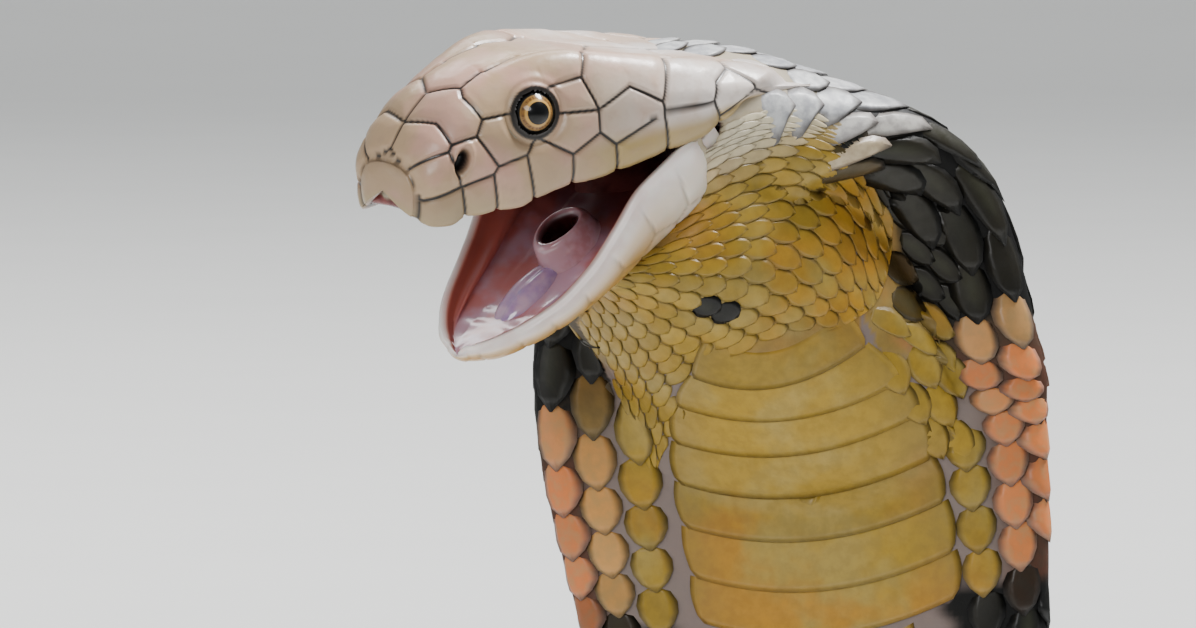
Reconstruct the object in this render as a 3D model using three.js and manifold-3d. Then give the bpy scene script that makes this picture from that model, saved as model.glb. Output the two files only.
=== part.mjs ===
// A king cobra, life size and about three metres long, as a still museum model.
// It rears from a loose coil on the floor with its hood spread, its head turned to its right and its mouth open.
// Units are millimetres, +Z is up, and the camera side of the animal is -Y.
// The body is one curve from the back of the head to the tail tip, with sections swept along it.
// It is parted into lengths by thin cuts.
import * as THREE from "three";
import { mergeVertices } from "three/addons/utils/BufferGeometryUtils.js";
import Module from "manifold-3d";

const wasm = await Module();
wasm.setup();

const cutGap = 0.3; // what touching pieces keep between them
const hoodClearance = 0.7; // what the throat keeps from the hood, whose facets bulge
const degree = Math.PI / 180;

// The head's own frame: its origin is at the lip below the snout tip, back runs to the nape.
const headPlace = {
  lip: new THREE.Vector3(14, -165, 666.3),
  yaw: 50, // degrees from the camera axis towards the animal's right
  noseDown: 10,
  roll: 8,
};

// Places along the head are millimetres behind the snout tip.
const headWidth = [[0, 7.6], [0.6, 9.6], [2, 11.3], [4.5, 12.4], [8, 13], [14, 14.3], [20, 15.5], [27, 16.8], [34, 18.2],
  [43, 20], [52, 21.8], [60, 23], [68, 23.6]];
const crownHeight = [[0, 9.8], [0.6, 12], [2, 14], [4.5, 17], [8, 20], [12, 22.6], [17, 24.6], [22, 25.8], [30, 26.4],
  [38, 25.6], [48, 23.6], [58, 21.2], [68, 18.8]];
const crownFlatness = [[0, 0.7], [8, 0.75], [16, 0.92], [24, 0.95], [32, 0.8], [45, 0.5], [68, 0.5]]; // under 1 flattens the crown
// The brow ridge runs back into the bulge of the jaw muscles: its rise and its share of the way from crown to lip.
const browRise = [[15, 0], [21, 0.8], [28, 2.2], [36, 2.8], [44, 2.2], [56, 2], [68, 1.4]];
const browShare = [[30, 0.25], [50, 0.3]];
const browReach = 0.2;
const lipHeight = [[0, 1], [0.6, 0], [2, -0.6], [5, -0.8], [9, 0.2], [14, 0.2], [20, 0.2], [29, 2.3], [40, 3.2], [52, 5.4],
  [62, 7], [68, 9.4]];
const palateRise = [[0, 0.4], [4, 1.6], [12, 3.6], [40, 4], [56, 3], [68, 2]];
const headEnd = 68;
const crownSquare = 0.8; // under 1 squares the crown's shoulders
const lipTuck = 0.09; // how far the lip draws in below the cheek, as a share of the half width

// The head's shields: the middles of each one's area, as [place, share of the way from crown to lip].
// All but the frontal are in pairs.
const shields = {
  frontal: [[15.5, 0], [24, 0], [33, 0], [42, 0]],
  internasal: [[3.5, 0.2]],
  prefrontal: [[9, 0.12], [9.8, 0.29]],
  supraocular: [[17, 0.28], [24, 0.28], [33, 0.3]],
  parietal: [[41, 0.4], [50, 0.34], [52, 0.14], [60, 0.14]],
  occipital: [[60.5, 0.43], [72, 0.16]],
  preocular: [[16.4, 0.49]],
  upperPostocular: [[33, 0.44]],
  lowerPostocular: [[32.4, 0.57]],
  frontNasal: [[2.7, 0.53]],
  rearNasal: [[10.2, 0.57]],
  temporal: [[43.9, 0.59]],
  labial1: [[4.4, 0.78]],
  labial2: [[11.7, 0.8]],
  labial3: [[18.4, 0.78]],
  labial4: [[27.5, 0.78]],
  labial5: [[37, 0.8]],
  labial6: [[47, 0.8]],
  labial7: [[59.8, 0.77]],
};
const rostral = [[0, 9], [3.4, 7], [6.2, 5.4], [6.4, 2.4], [3.2, 1.7], [0, 2.5]]; // its left half, as [side, height]
const plate = { rise: 0.6, root: 1.2, seam: 0.35, rays: 10, raysOfLarge: 16, large: 2 };
const lipMargin = 0.96; // how far towards the lip the shields reach

// The lower jaw hangs from behind the corner of the mouth. Places along it run forward from there.
const jawPlace = { back: 70, height: 4.5, drop: 33 };
const jawLength = 65;
const jawStart = 6;
const jawWidth = [[-12, 20.5], [0, 22.6], [12, 22.8], [22, 22.3], [33, 21.2], [43, 19], [50, 16.8], [56, 13.6], [61, 9.4],
  [64, 5.4], [65, 2.6]];
const jawDepth = [[-12, 15], [0, 14.5], [12, 13], [24, 11], [36, 9.2], [47, 7.6], [56, 6], [62, 4.4], [65, 2.4]];
const jawRim = [[-12, 4], [0, 5.5], [12, 7], [22, 7.4], [32, 4.6], [41, 1.6], [50, 0.2], [65, 0]];
const jawFloor = [[-12, 0], [6, 1.5], [20, 3.6], [40, 4.2], [52, 3.4], [60, 1.6], [65, 0.4]];
const jawLip = 2.6;
// The opening of the windpipe stands up as a ring behind the sheath that the tongue lies in.
const glottis = { ahead: 32, length: 6.4, width: 5, floor: -6, rim: 1.4 };
const tongueSheath = { floor: -4.6, rings: [[37, 1.4], [41, 3.8], [46, 4.6], [51, 4], [55, 1.4]] };

// The spine leaves the back of the head level, bends down through an even arc and runs down the reared trunk.
const spineStart = { back: 62, height: 6 };
const napeArc = { from: [73, -116.4, 686.6], heading: [0.766, 0.643], radius: 30, turns: [0, 18, 36, 54, 72, 88] };
const rearedSpine = [
  [95, -96.5, 645], [93.8, -95.5, 633], [94, -95, 620], [97, -94.5, 600], [101, -94, 570], [105, -95, 530], [107, -98, 470],
  [107, -101, 400], [106, -102, 320], [105, -101, 240], [105, -98, 165],
];
const riseRadius = 80; // of the bend from the reared trunk to the floor
const riseFoot = { x: 105, y: -96, z: 99.5 };
const coil = { x: 5, y: 0, startRadius: 100, growth: 19.2, firstAngle: 11, lastAngle: 632, step: 23, wander: 6 };

// Half width, height above the spine and depth below it, by distance along the spine.
const halfWidth = [[0, 23.2], [12, 24], [30, 28.5], [44, 35], [66, 46], [88, 52.6], [101, 52], [121, 50], [141, 47.2],
  [175, 40], [215, 32.5], [260, 27.2], [320, 24.6], [450, 24.4], [800, 26.5], [1300, 27.8], [1800, 26.2], [2150, 22.6],
  [2380, 17.6], [2600, 11.6], [2780, 6.6], [2900, 2.8], [2960, 1.1]];
const backHeight = [[0, 13.4], [6, 12.8], [20, 12], [44, 11.4], [88, 10], [141, 11], [200, 13.6], [300, 19], [450, 21], [800, 24], [1300, 25.4],
  [1800, 24], [2150, 20.6], [2380, 16], [2600, 10.8], [2780, 6.2], [2900, 2.7], [2960, 1.1]];
const bellyDepth = [[0, 16.5], [12, 20], [28, 24], [44, 19], [66, 13.5], [88, 12], [141, 12.4], [200, 14], [300, 17], [450, 18.4], [800, 20.4],
  [1300, 21.4], [1800, 20.4], [2150, 17.6], [2380, 14], [2600, 9.8], [2780, 5.8], [2900, 2.6], [2960, 1.1]];
// Over 1 thins the section towards its edges, as the hood's ribs do.
const edgeThinning = [[0, 0.6], [14, 0.75], [34, 1.15], [66, 1.5], [141, 1.45], [200, 1.15], [280, 0.95], [2960, 0.95]];
const hoodSweep = [[0, 0], [40, 2], [88, 6], [141, 5], [240, 0]]; // how far the hood's edges come forward
const bellyFlatness = 0.72; // under 1 flattens the belly
// The broad scutes of the belly: how far each one's rear edge stands up, their lengths and their half width.
const scute = { rise: 0.7, length: [[46, 8.3], [235, 8.8], [500, 10.4]], half: [[46, 20], [100, 26], [150, 27], [235, 24], [800, 24]] };

// Each length of the body is one node, between two distances along the spine.
const lengths = [
  ["hood_upper", 46, 140], ["hood_lower", 140, 235], ["trunk_upper", 235, 410], ["trunk_middle", 410, 590],
  ["trunk_base", 590, 800], ["coil_1", 800, 1060], ["coil_2", 1060, 1320], ["coil_3", 1320, 1580], ["coil_4", 1580, 1840],
  ["coil_5", 1840, 2100], ["coil_6", 2100, 2380], ["tail_base", 2380, 2660], ["tail_tip", 2660, Infinity],
];
const ringPoints = { hood: 24, trunk: 16, coil: 16 };
const ringStep = { hood: 9, trunk: 16, coil: 24 };

// Stations are [place, value] pairs, joined by a curve that never overshoots them.
function along(stations, place) {
  const last = stations.length - 1;
  if (place <= stations[0][0]) return stations[0][1];
  if (place >= stations[last][0]) return stations[last][1];
  let i = 0;
  while (place > stations[i + 1][0]) i++;
  const slope = (k) => (stations[k + 1][1] - stations[k][1]) / (stations[k + 1][0] - stations[k][0]);
  const tangent = (k) => {
    if (k === 0) return slope(0);
    if (k === last) return slope(last - 1);
    const before = slope(k - 1);
    const after = slope(k);
    return before * after <= 0 ? 0 : (2 * before * after) / (before + after);
  };
  const span = stations[i + 1][0] - stations[i][0];
  const t = (place - stations[i][0]) / span;
  return (
    stations[i][1] * (1 + 2 * t) * (1 - t) ** 2 + tangent(i) * span * t * (1 - t) ** 2 +
    stations[i + 1][1] * t * t * (3 - 2 * t) - tangent(i + 1) * span * t * t * (1 - t)
  );
}

const blend = (low, high, x) => THREE.MathUtils.smoothstep(x, low, high);
const power = (x, exponent) => Math.sign(x) * Math.abs(x) ** exponent;

// The head frame's forward, left and up directions.
const headFrame = (() => {
  const yaw = headPlace.yaw * degree;
  const pitch = headPlace.noseDown * degree;
  const roll = headPlace.roll * degree;
  const forward = new THREE.Vector3(-Math.sin(yaw) * Math.cos(pitch), -Math.cos(yaw) * Math.cos(pitch), -Math.sin(pitch));
  const level = new THREE.Vector3(Math.cos(yaw), -Math.sin(yaw), 0);
  const upright = forward.clone().cross(level);
  const up = upright.clone().multiplyScalar(Math.cos(roll)).addScaledVector(level, Math.sin(roll));
  const left = level.clone().multiplyScalar(Math.cos(roll)).addScaledVector(upright, -Math.sin(roll));
  return { forward, left, up };
})();

function headPoint(back, side, height) {
  return headPlace.lip.clone()
    .addScaledVector(headFrame.forward, -back)
    .addScaledVector(headFrame.left, side)
    .addScaledVector(headFrame.up, height);
}

function jawPoint(ahead, side, height) {
  const drop = jawPlace.drop * degree;
  return headPoint(
    jawPlace.back - ahead * Math.cos(drop) - height * Math.sin(drop),
    side,
    jawPlace.height - ahead * Math.sin(drop) + height * Math.cos(drop),
  );
}

const floorPress = 0.055; // the share of the belly's depth that the floor flattens
const floorHeight = (distance) => along(bellyDepth, distance) * (1 - floorPress);

// A smooth curve that starts and ends at its end points and is drawn towards the ones between.
class SmoothCurve extends THREE.Curve {
  constructor(points) {
    super();
    this.points = [points[0], points[0], ...points, points.at(-1), points.at(-1)];
  }

  getPoint(share, target = new THREE.Vector3()) {
    const spans = this.points.length - 3;
    const place = Math.min(share * spans, spans - 1e-9);
    const i = Math.floor(place);
    const f = place - i;
    const weights = [(1 - f) ** 3, 3 * f ** 3 - 6 * f * f + 4, -3 * f ** 3 + 3 * f * f + 3 * f + 1, f ** 3];
    target.set(0, 0, 0);
    weights.forEach((weight, k) => target.addScaledVector(this.points[i + k], weight / 6));
    return target;
  }
}

const spine = (() => {
  const points = [0, 5, 9].map((back) => headPoint(spineStart.back + back, 0, spineStart.height));
  for (const turn of napeArc.turns) {
    const forward = napeArc.radius * Math.sin(turn * degree);
    const down = napeArc.radius * (1 - Math.cos(turn * degree));
    const [x, y, z] = napeArc.from;
    points.push(new THREE.Vector3(x + napeArc.heading[0] * forward, y + napeArc.heading[1] * forward, z - down));
  }
  points.push(...rearedSpine.map((p) => new THREE.Vector3(...p)));
  for (const turn of [0, 30, 60, 90]) {
    points.push(new THREE.Vector3(
      riseFoot.x,
      riseFoot.y + riseRadius * (1 - Math.cos(turn * degree)),
      riseFoot.z - riseRadius * Math.sin(turn * degree),
    ));
  }
  for (let angle = coil.firstAngle; angle <= coil.lastAngle; angle += coil.step) {
    const a = angle * degree;
    const wander = coil.wander * Math.sin(1.7 * a) * blend(0.5, 3, a);
    const radius = coil.startRadius + coil.growth * a + wander;
    points.push(new THREE.Vector3(coil.x + radius * Math.cos(a), coil.y + radius * Math.sin(a), riseFoot.z - riseRadius));
  }
  const curve = new SmoothCurve(points);
  curve.arcLengthDivisions = 4000;
  return curve;
})();
const spineLength = spine.getLength();

// Where the back of the body faces: up at the head, away from the camera in the reared part, up on the floor.
const hoodBack = new THREE.Vector3(0.17, 0.985, 0);
const backTurns = [[6, 80], [600, 775]];

function spineFrame(distance) {
  const share = THREE.MathUtils.clamp(distance / spineLength, 0, 1);
  const centre = spine.getPointAt(share);
  const tailward = spine.getTangentAt(share);
  const onFloor = blend(...backTurns[1], distance);
  if (onFloor > 0) centre.z += (floorHeight(distance) - (riseFoot.z - riseRadius)) * onFloor;
  const hint = headFrame.up.clone().lerp(hoodBack, blend(...backTurns[0], distance));
  hint.lerp(new THREE.Vector3(0, 0, 1), onFloor);
  const up = hint.addScaledVector(tailward, -hint.dot(tailward)).normalize();
  const left = tailward.clone().cross(up);
  return { centre, up, left };
}

// A ring is a closed outline of [side, height] pairs with a function that places them in space.
function bodyRing(distance, count, grow = 0, scuteRise = 0) {
  const frame = spineFrame(distance);
  const width = along(halfWidth, distance) + grow;
  const back = along(backHeight, distance) + grow;
  const belly = along(bellyDepth, distance) + grow;
  const thinning = along(edgeThinning, distance);
  const sweep = along(hoodSweep, distance);
  const outline = [];
  for (let i = 0; i < count; i++) {
    const turn = (i / count) * 2 * Math.PI; // from the belly, round the left side
    const side = width * power(Math.sin(turn), 0.94);
    const height = Math.cos(turn) > 0
      ? -belly * power(Math.cos(turn), thinning * bellyFlatness)
      : -back * power(Math.cos(turn), thinning);
    const half = along(scute.half, distance);
    const raised = height < 0 ? scuteRise * (1 - blend(half * 0.9, half * 1.1, Math.abs(side))) : 0;
    outline.push([side, height - raised - sweep * (side / width) ** 2]);
  }
  const place = ([side, height]) => {
    const point = frame.centre.clone().addScaledVector(frame.left, side).addScaledVector(frame.up, height);
    if (distance > backTurns[1][0]) point.z = Math.max(point.z, 0);
    return point;
  };
  return { outline, place };
}

// Skins a row of rings of equal count and closes both ends.
function skin(rings) {
  const count = rings[0].outline.length;
  const position = [];
  for (const ring of rings) {
    for (const pair of ring.outline) position.push(...ring.place(pair).toArray());
  }
  const index = [];
  for (let r = 0; r < rings.length - 1; r++) {
    for (let i = 0; i < count; i++) {
      const a = r * count + i;
      const b = r * count + ((i + 1) % count);
      index.push(a, b, a + count, b, b + count, a + count);
    }
  }
  const cap = (ring, base, flip) => {
    const flat = ring.outline.map((pair) => new THREE.Vector2(...pair));
    for (const [a, b, c] of THREE.ShapeUtils.triangulateShape(flat, [])) {
      index.push(...(flip ? [base + c, base + b, base + a] : [base + a, base + b, base + c]));
    }
  };
  const clockwise = THREE.ShapeUtils.isClockWise(rings[0].outline.map((pair) => new THREE.Vector2(...pair)));
  cap(rings[0], 0, !clockwise);
  cap(rings[rings.length - 1], (rings.length - 1) * count, clockwise);
  return solidFrom(position, index);
}

function solidFrom(position, index) {
  const geometry = new THREE.BufferGeometry()
    .setAttribute("position", new THREE.BufferAttribute(new Float32Array(position), 3))
    .setIndex(index);
  const merged = mergeVertices(geometry, 1e-4);
  const triVerts = new Uint32Array(merged.index.array);
  const make = () => new wasm.Manifold(new wasm.Mesh({
    numProp: 3, vertProperties: merged.attributes.position.array, triVerts,
  }));
  let solid = make();
  if (solid.volume() < 0) {
    for (let i = 0; i < triVerts.length; i += 3) [triVerts[i + 1], triVerts[i + 2]] = [triVerts[i + 2], triVerts[i + 1]];
    solid = make();
  }
  return solid;
}

const spaced = (from, to, step) => {
  const count = Math.max(1, Math.round((to - from) / step));
  return Array.from({ length: count + 1 }, (_, i) => from + ((to - from) * i) / count);
};

// The outside of the head at one place, from the crown (share 0) down the side to the lip (share 1).
function headSurface(back, share, grow = 0) {
  const width = along(headWidth, back) + grow;
  const crown = along(crownHeight, back) + grow;
  const lip = along(lipHeight, back) - grow;
  const widest = lip + 0.4 * (crown - lip);
  const turn = share * 150 * degree;
  if (turn <= Math.PI / 2) {
    const ridge = along(browRise, back) * (1 - blend(0, browReach, Math.abs(share - along(browShare, back))));
    return [
      width * power(Math.sin(turn), crownSquare),
      widest + (crown - widest) * power(Math.cos(turn), along(crownFlatness, back)) + ridge,
    ];
  }
  const under = (turn - Math.PI / 2) * 1.5;
  return [width * (1 - lipTuck * (1 - Math.cos(under))), widest - (widest - lip) * Math.sin(under)];
}

// The same as a point in space, on the animal's left where the share is over 0.
function headSkin(back, share, grow) {
  const [side, height] = headSurface(back, Math.abs(share), grow);
  return headPoint(back - grow * (1 - blend(0, 6, back)), Math.sign(share) * side, height);
}

// A shield reaches from its middle out to where another shield's middle is nearer. It stands proud by the plate's rise.
const shieldMiddles = Object.entries(shields).flatMap(([name, middles]) => (
  name === "frontal" ? [middles] : [middles, middles.map(([back, share]) => [back, -share])]
));

function shieldSolid(middles) {
  const nearest = (point, set) => Math.min(...set.map((middle) => headSkin(...middle, 0).distanceTo(point)));
  const others = shieldMiddles.filter((set) => set !== middles).flat();
  others.push([0, 0.3], [0, -0.3]);
  const centre = [0, 1].map((k) => middles.reduce((sum, middle) => sum + middle[k], 0) / middles.length);
  const arc = 1.9 * along(headWidth, centre[0]);
  const large = middles.length > plate.large;
  const rays = large ? plate.raysOfLarge : plate.rays;
  const reaches = [];
  for (let i = 0; i < rays; i++) {
    const turn = (i / rays) * 2 * Math.PI;
    let reach = 1;
    for (; reach < 30; reach += 0.3) {
      const back = centre[0] + (reach + plate.seam) * Math.cos(turn);
      const share = centre[1] + ((reach + plate.seam) * Math.sin(turn)) / arc;
      if (back < 0.5 || back > headEnd - 0.6 || Math.abs(share) > lipMargin) break;
      const point = headSkin(back, share, 0);
      if (nearest(point, middles) > nearest(point, others)) break;
    }
    reaches.push([reach * Math.cos(turn), reach * Math.sin(turn)]);
  }
  const ring = (scale, grow) => ({
    outline: reaches.map(([back, side]) => [centre[0] + back * scale, centre[1] * arc + side * scale]),
    place: ([back, side]) => headSkin(back, side / arc, grow),
  });
  const rings = [ring(1, -plate.root), ring(1, plate.rise * 0.5), ring(0.92, plate.rise)];
  if (large) rings.push(ring(0.5, plate.rise));
  return skin(rings);
}

function rostralSolid() {
  const outline = [...rostral, ...rostral.slice(1, -1).reverse().map(([side, height]) => [-side, height])];
  const ring = (back) => ({ outline, place: ([side, height]) => headPoint(back, side, height) });
  return skin([ring(-plate.rise), ring(plate.root)]);
}

const headSide = 10; // points from crown to lip on each side
function headRing(back, grow = 0) {
  const half = [];
  for (let i = 0; i < headSide; i++) half.push(headSurface(back, i / (headSide - 1), grow));
  const [lipSide, lip] = half[headSide - 1];
  const palate = lip + along(palateRise, back) - grow;
  half.push([lipSide * 0.84, lip + 0.3], [lipSide * 0.66, lip + 0.7 * (palate - lip)], [lipSide * 0.3, palate]);
  const outline = [
    ...half,
    [0, palate],
    ...half.slice(1).reverse().map(([side, height]) => [-side, height]),
  ];
  return { outline, place: ([side, height]) => headPoint(back, side, height) };
}

function jawRing(ahead, grow = 0) {
  const width = along(jawWidth, ahead) + grow;
  const depth = along(jawDepth, ahead) + grow;
  const rim = along(jawRim, ahead) + grow;
  const floor = along(jawFloor, ahead) - grow;
  const lip = Math.min(jawLip, width * 0.4);
  const half = [];
  for (let i = 0; i < 8; i++) {
    const turn = (i / 7) * 90 * degree; // from under the chin round to the lip
    half.push([width * power(Math.sin(turn), 0.8), rim - (depth + rim) * power(Math.cos(turn), 0.85)]);
  }
  half.push([width - lip * 0.4, rim + 0.9], [width - lip, rim + 0.2]);
  half.push([(width - lip) * 0.82, -floor + (rim + floor) * 0.3], [(width - lip) * 0.45, -floor]);
  const outline = [
    ...half,
    [0, -floor],
    ...half.slice(1).reverse().map(([side, height]) => [-side, height]),
  ];
  return { outline, place: ([side, height]) => jawPoint(ahead, side, height) };
}

// A ring lying level in the lower jaw, as half length and half width about a middle.
function jawOval(ahead, length, width, height, count = 12) {
  const outline = [];
  for (let i = 0; i < count; i++) {
    const turn = (i / count) * 2 * Math.PI;
    outline.push([length * Math.cos(turn), width * Math.sin(turn)]);
  }
  return { outline, place: ([forward, side]) => jawPoint(ahead + forward, side, height) };
}

function mouthParts() {
  const { ahead, length, width, floor, rim } = glottis;
  const tube = skin([
    jawOval(ahead, length * 1.15, width * 1.15, floor),
    jawOval(ahead, length * 1.04, width * 1.04, rim - 1),
    jawOval(ahead, length * 0.86, width * 0.86, rim),
  ]);
  const bore = skin([
    jawOval(ahead, length * 0.5, width * 0.5, floor + 2.4),
    jawOval(ahead, length * 0.68, width * 0.66, rim + 0.5),
  ]);
  const sheath = skin(tongueSheath.rings.map(([place, radius]) => {
    const outline = [];
    for (let i = 0; i < 10; i++) outline.push([radius * Math.cos(i * 0.2 * Math.PI), 0.7 * radius * Math.sin(i * 0.2 * Math.PI)]);
    return { outline, place: ([side, height]) => jawPoint(place, side, tongueSheath.floor + height) };
  }));
  return { tube, bore, sheath };
}

// The throat, slung from the lower jaw to the hood.
// Each row is its skin's midline, its inner midline, its half width and how thin it is at its sides.
const throatRows = [
  [[50, -131, 650], jawPoint(36, 0, -5).toArray(), 16, 0.8],
  [[55, -129, 644], jawPoint(22, 0, -4.6).toArray(), 20.5, 0.8],
  [[62, -126, 638], [63, -124, 679], 24, 0.85],
  [[70, -121, 630], [75, -113, 681], 28, 1],
  [[80, -115, 620], [89, -101, 668], 34, 1.2],
  [[88, -110.5, 610], [92, -98, 642], 37, 1.4],
  [[94, -108, 600], [95, -97, 612], 34, 1.5],
];
const throatRings = { count: 20, steps: 12, fullness: 0.8 };

function throatSolid() {
  const curve = (k) => new THREE.CatmullRomCurve3(throatRows.map((row) => new THREE.Vector3(...row[k])));
  const outer = curve(0);
  const inner = curve(1);
  const stations = (k) => throatRows.map((row, i) => [i / (throatRows.length - 1), row[k]]);
  const [widths, thinnings] = [stations(2), stations(3)];
  const rings = [];
  for (let k = 0; k <= throatRings.steps; k++) {
    const share = k / throatRings.steps;
    const front = outer.getPoint(share);
    const rear = inner.getPoint(share);
    const centre = front.clone().lerp(rear, 0.5);
    const depth = rear.clone().sub(centre);
    const left = headFrame.left.clone().lerp(new THREE.Vector3(0.985, -0.17, 0), share);
    left.addScaledVector(depth, -left.dot(depth) / depth.lengthSq()).normalize();
    const outline = [];
    for (let i = 0; i < throatRings.count; i++) {
      const turn = (i / throatRings.count) * 2 * Math.PI;
      outline.push([
        along(widths, share) * power(Math.sin(turn), throatRings.fullness),
        -power(Math.cos(turn), along(thinnings, share)),
      ]);
    }
    const place = ([side, share]) => centre.clone().addScaledVector(left, side).addScaledVector(depth, share);
    rings.push({ outline, place });
  }
  return skin(rings);
}

// The gape: the open space between the two jaws, from side to side, back to the corners of the mouth.
const gapeOutline = [[69.5, 10], [56, 10.5], [20, 8], [-10, 4], [-10, -60], [15, -31], [63, 0]];

function gapeSolid() {
  const ring = (side) => ({ outline: gapeOutline, place: ([back, height]) => headPoint(back, side, height) });
  return skin([ring(-40), ring(40)]);
}

function ellipsoid(centre, radii, segments = 16) {
  const geometry = new THREE.SphereGeometry(1, segments, segments / 2).scale(...radii);
  geometry.applyMatrix4(new THREE.Matrix4().makeBasis(
    headFrame.forward.clone().negate(), headFrame.left, headFrame.up,
  ));
  geometry.translate(...centre.toArray());
  geometry.deleteAttribute("normal").deleteAttribute("uv");
  const merged = mergeVertices(geometry, 1e-4);
  return solidFrom([...merged.attributes.position.array], [...merged.index.array]);
}

const eye = { back: 25.6, side: 12.6, height: 17.3, radius: 5 };
const nostril = { back: 7.8, side: 12.6, height: 10.6, radii: [1.6, 2.6, 2.6] };

function bodyLength([name, from, to], grow = 0) {
  const kind = name.split("_")[0] in ringPoints ? name.split("_")[0] : "coil";
  const start = from + cutGap / 2;
  const end = Math.min(to - cutGap / 2, spineLength);
  if (kind !== "coil" && !grow) return skin(scuteRings(start, end, ringPoints[kind]));
  const places = spaced(start, end, ringStep[kind]);
  return skin(places.map((place, i) => bodyRing(i === 0 && grow ? place - cutGap : place, ringPoints[kind], grow)));
}

// Two rings for each scute: its front edge, tucked under the one before, and its raised rear edge.
function scuteRings(start, end, count) {
  const rings = [];
  for (let place = start; place < end - 1;) {
    const left = end - place;
    const rear = Math.min(place + along(scute.length, place), end);
    rings.push(bodyRing(place, count), bodyRing(left < 12 ? end : rear, count, 0, scute.rise));
    place = left < 12 ? end : rear + 0.35;
  }
  return rings;
}

const largest = (solid) => solid.decompose().reduce((a, b) => (a.volume() > b.volume() ? a : b));

const solids = new Map();

const headSpaces = [0, 0.6, 2, 4.5, 8, 12, 16, 20, 24, 28, 32, 37, 42, 47, 52, 57, 62, headEnd];
const headLoft = (grow) => skin(headSpaces.map((back) => headRing(back === headEnd ? back + grow : back, grow)));
const jawSpaces = [jawStart, 12, 18, 24, 30, 36, 43, 50, 56, 61, 64, jawLength];
const jawLoft = (grow) => skin(jawSpaces.map((ahead) => jawRing(ahead === jawStart ? ahead - grow : ahead, grow)));
const jawRoot = skin([-5, 0, 6, 12].map((ahead) => jawRing(ahead, -0.2)));
const neckLoft = skin(spaced(2, 46 - cutGap / 2, 6).map((distance) => bodyRing(distance, ringPoints.hood)));

let head = headLoft(0).add(rostralSolid());
for (const middles of shieldMiddles) head = head.add(shieldSolid(middles));
let neck = neckLoft.add(jawRoot).add(throatSolid()).subtract(gapeSolid());
for (const side of [1, -1]) {
  head = head.subtract(ellipsoid(headPoint(eye.back, side * eye.side, eye.height), Array(3).fill(eye.radius + cutGap)));
  head = head.subtract(ellipsoid(headPoint(nostril.back, side * nostril.side, nostril.height), nostril.radii, 12));
  solids.set(side > 0 ? "eye_left" : "eye_right",
    ellipsoid(headPoint(eye.back, side * eye.side, eye.height), Array(3).fill(eye.radius)));
}
const aroundHood = bodyLength(lengths[0], hoodClearance);
neck = neck.subtract(headLoft(cutGap)).subtract(jawLoft(cutGap)).subtract(aroundHood);
solids.set("head", largest(head));
const mouth = mouthParts();
const jaw = jawLoft(0).subtract(headLoft(cutGap + plate.rise));
solids.set("lower_jaw", largest(jaw.add(mouth.sheath).add(mouth.tube).subtract(mouth.bore)));
solids.set("neck", largest(neck));

for (const length of lengths) solids.set(length[0], bodyLength(length));
solids.set("hood_upper", largest(solids.get("hood_upper").intersect(aroundHood)));

const colours = { head: 0xb7a184, jaw: 0xd9c7a2, eye: 0x2a1d0c, hood: 0x9a8a3c, dark: 0x2b2822 };
const colourOf = (name) => {
  if (name.startsWith("eye")) return colours.eye;
  if (name === "head") return colours.head;
  if (name === "lower_jaw") return colours.jaw;
  return name === "neck" || name.startsWith("hood") ? colours.hood : colours.dark;
};

// The part's origin is the centre of its footprint, on the floor.
const bounds = new THREE.Box3();
for (const solid of solids.values()) {
  const { min, max } = solid.boundingBox();
  bounds.union(new THREE.Box3(new THREE.Vector3(...min), new THREE.Vector3(...max)));
}
const middle = bounds.getCenter(new THREE.Vector3());

const cobra = new THREE.Group();
for (const [name, solid] of solids) {
  const made = solid.getMesh();
  const geometry = new THREE.BufferGeometry()
    .setAttribute("position", new THREE.BufferAttribute(new Float32Array(made.vertProperties), 3))
    .setIndex(new THREE.BufferAttribute(made.triVerts, 1))
    .translate(-middle.x, -middle.y, 0);
  const material = new THREE.MeshStandardMaterial({ color: colourOf(name), roughness: 0.45, metalness: 0 });
  const mesh = new THREE.Mesh(geometry, material);
  mesh.name = name;
  cobra.add(mesh);
}

export default cobra;
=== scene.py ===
import math

import bmesh
import bpy
import numpy as np
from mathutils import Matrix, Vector
from mathutils.bvhtree import BVHTree
from mathutils.kdtree import KDTree


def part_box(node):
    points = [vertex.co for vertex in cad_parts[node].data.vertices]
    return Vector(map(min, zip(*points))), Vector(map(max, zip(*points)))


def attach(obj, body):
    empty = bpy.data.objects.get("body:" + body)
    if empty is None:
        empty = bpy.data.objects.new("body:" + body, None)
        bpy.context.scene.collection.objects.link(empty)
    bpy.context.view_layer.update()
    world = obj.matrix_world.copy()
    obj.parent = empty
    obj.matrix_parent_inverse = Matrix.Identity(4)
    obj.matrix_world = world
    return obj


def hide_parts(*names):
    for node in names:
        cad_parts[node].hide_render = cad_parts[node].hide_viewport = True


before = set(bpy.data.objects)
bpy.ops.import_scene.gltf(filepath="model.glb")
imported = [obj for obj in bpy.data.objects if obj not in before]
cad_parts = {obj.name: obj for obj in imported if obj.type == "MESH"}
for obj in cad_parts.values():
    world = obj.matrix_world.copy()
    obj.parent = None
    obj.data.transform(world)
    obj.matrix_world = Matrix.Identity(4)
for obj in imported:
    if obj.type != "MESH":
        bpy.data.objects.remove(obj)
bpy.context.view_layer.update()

degree = math.pi / 180
dice = np.random.default_rng(7)

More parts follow.
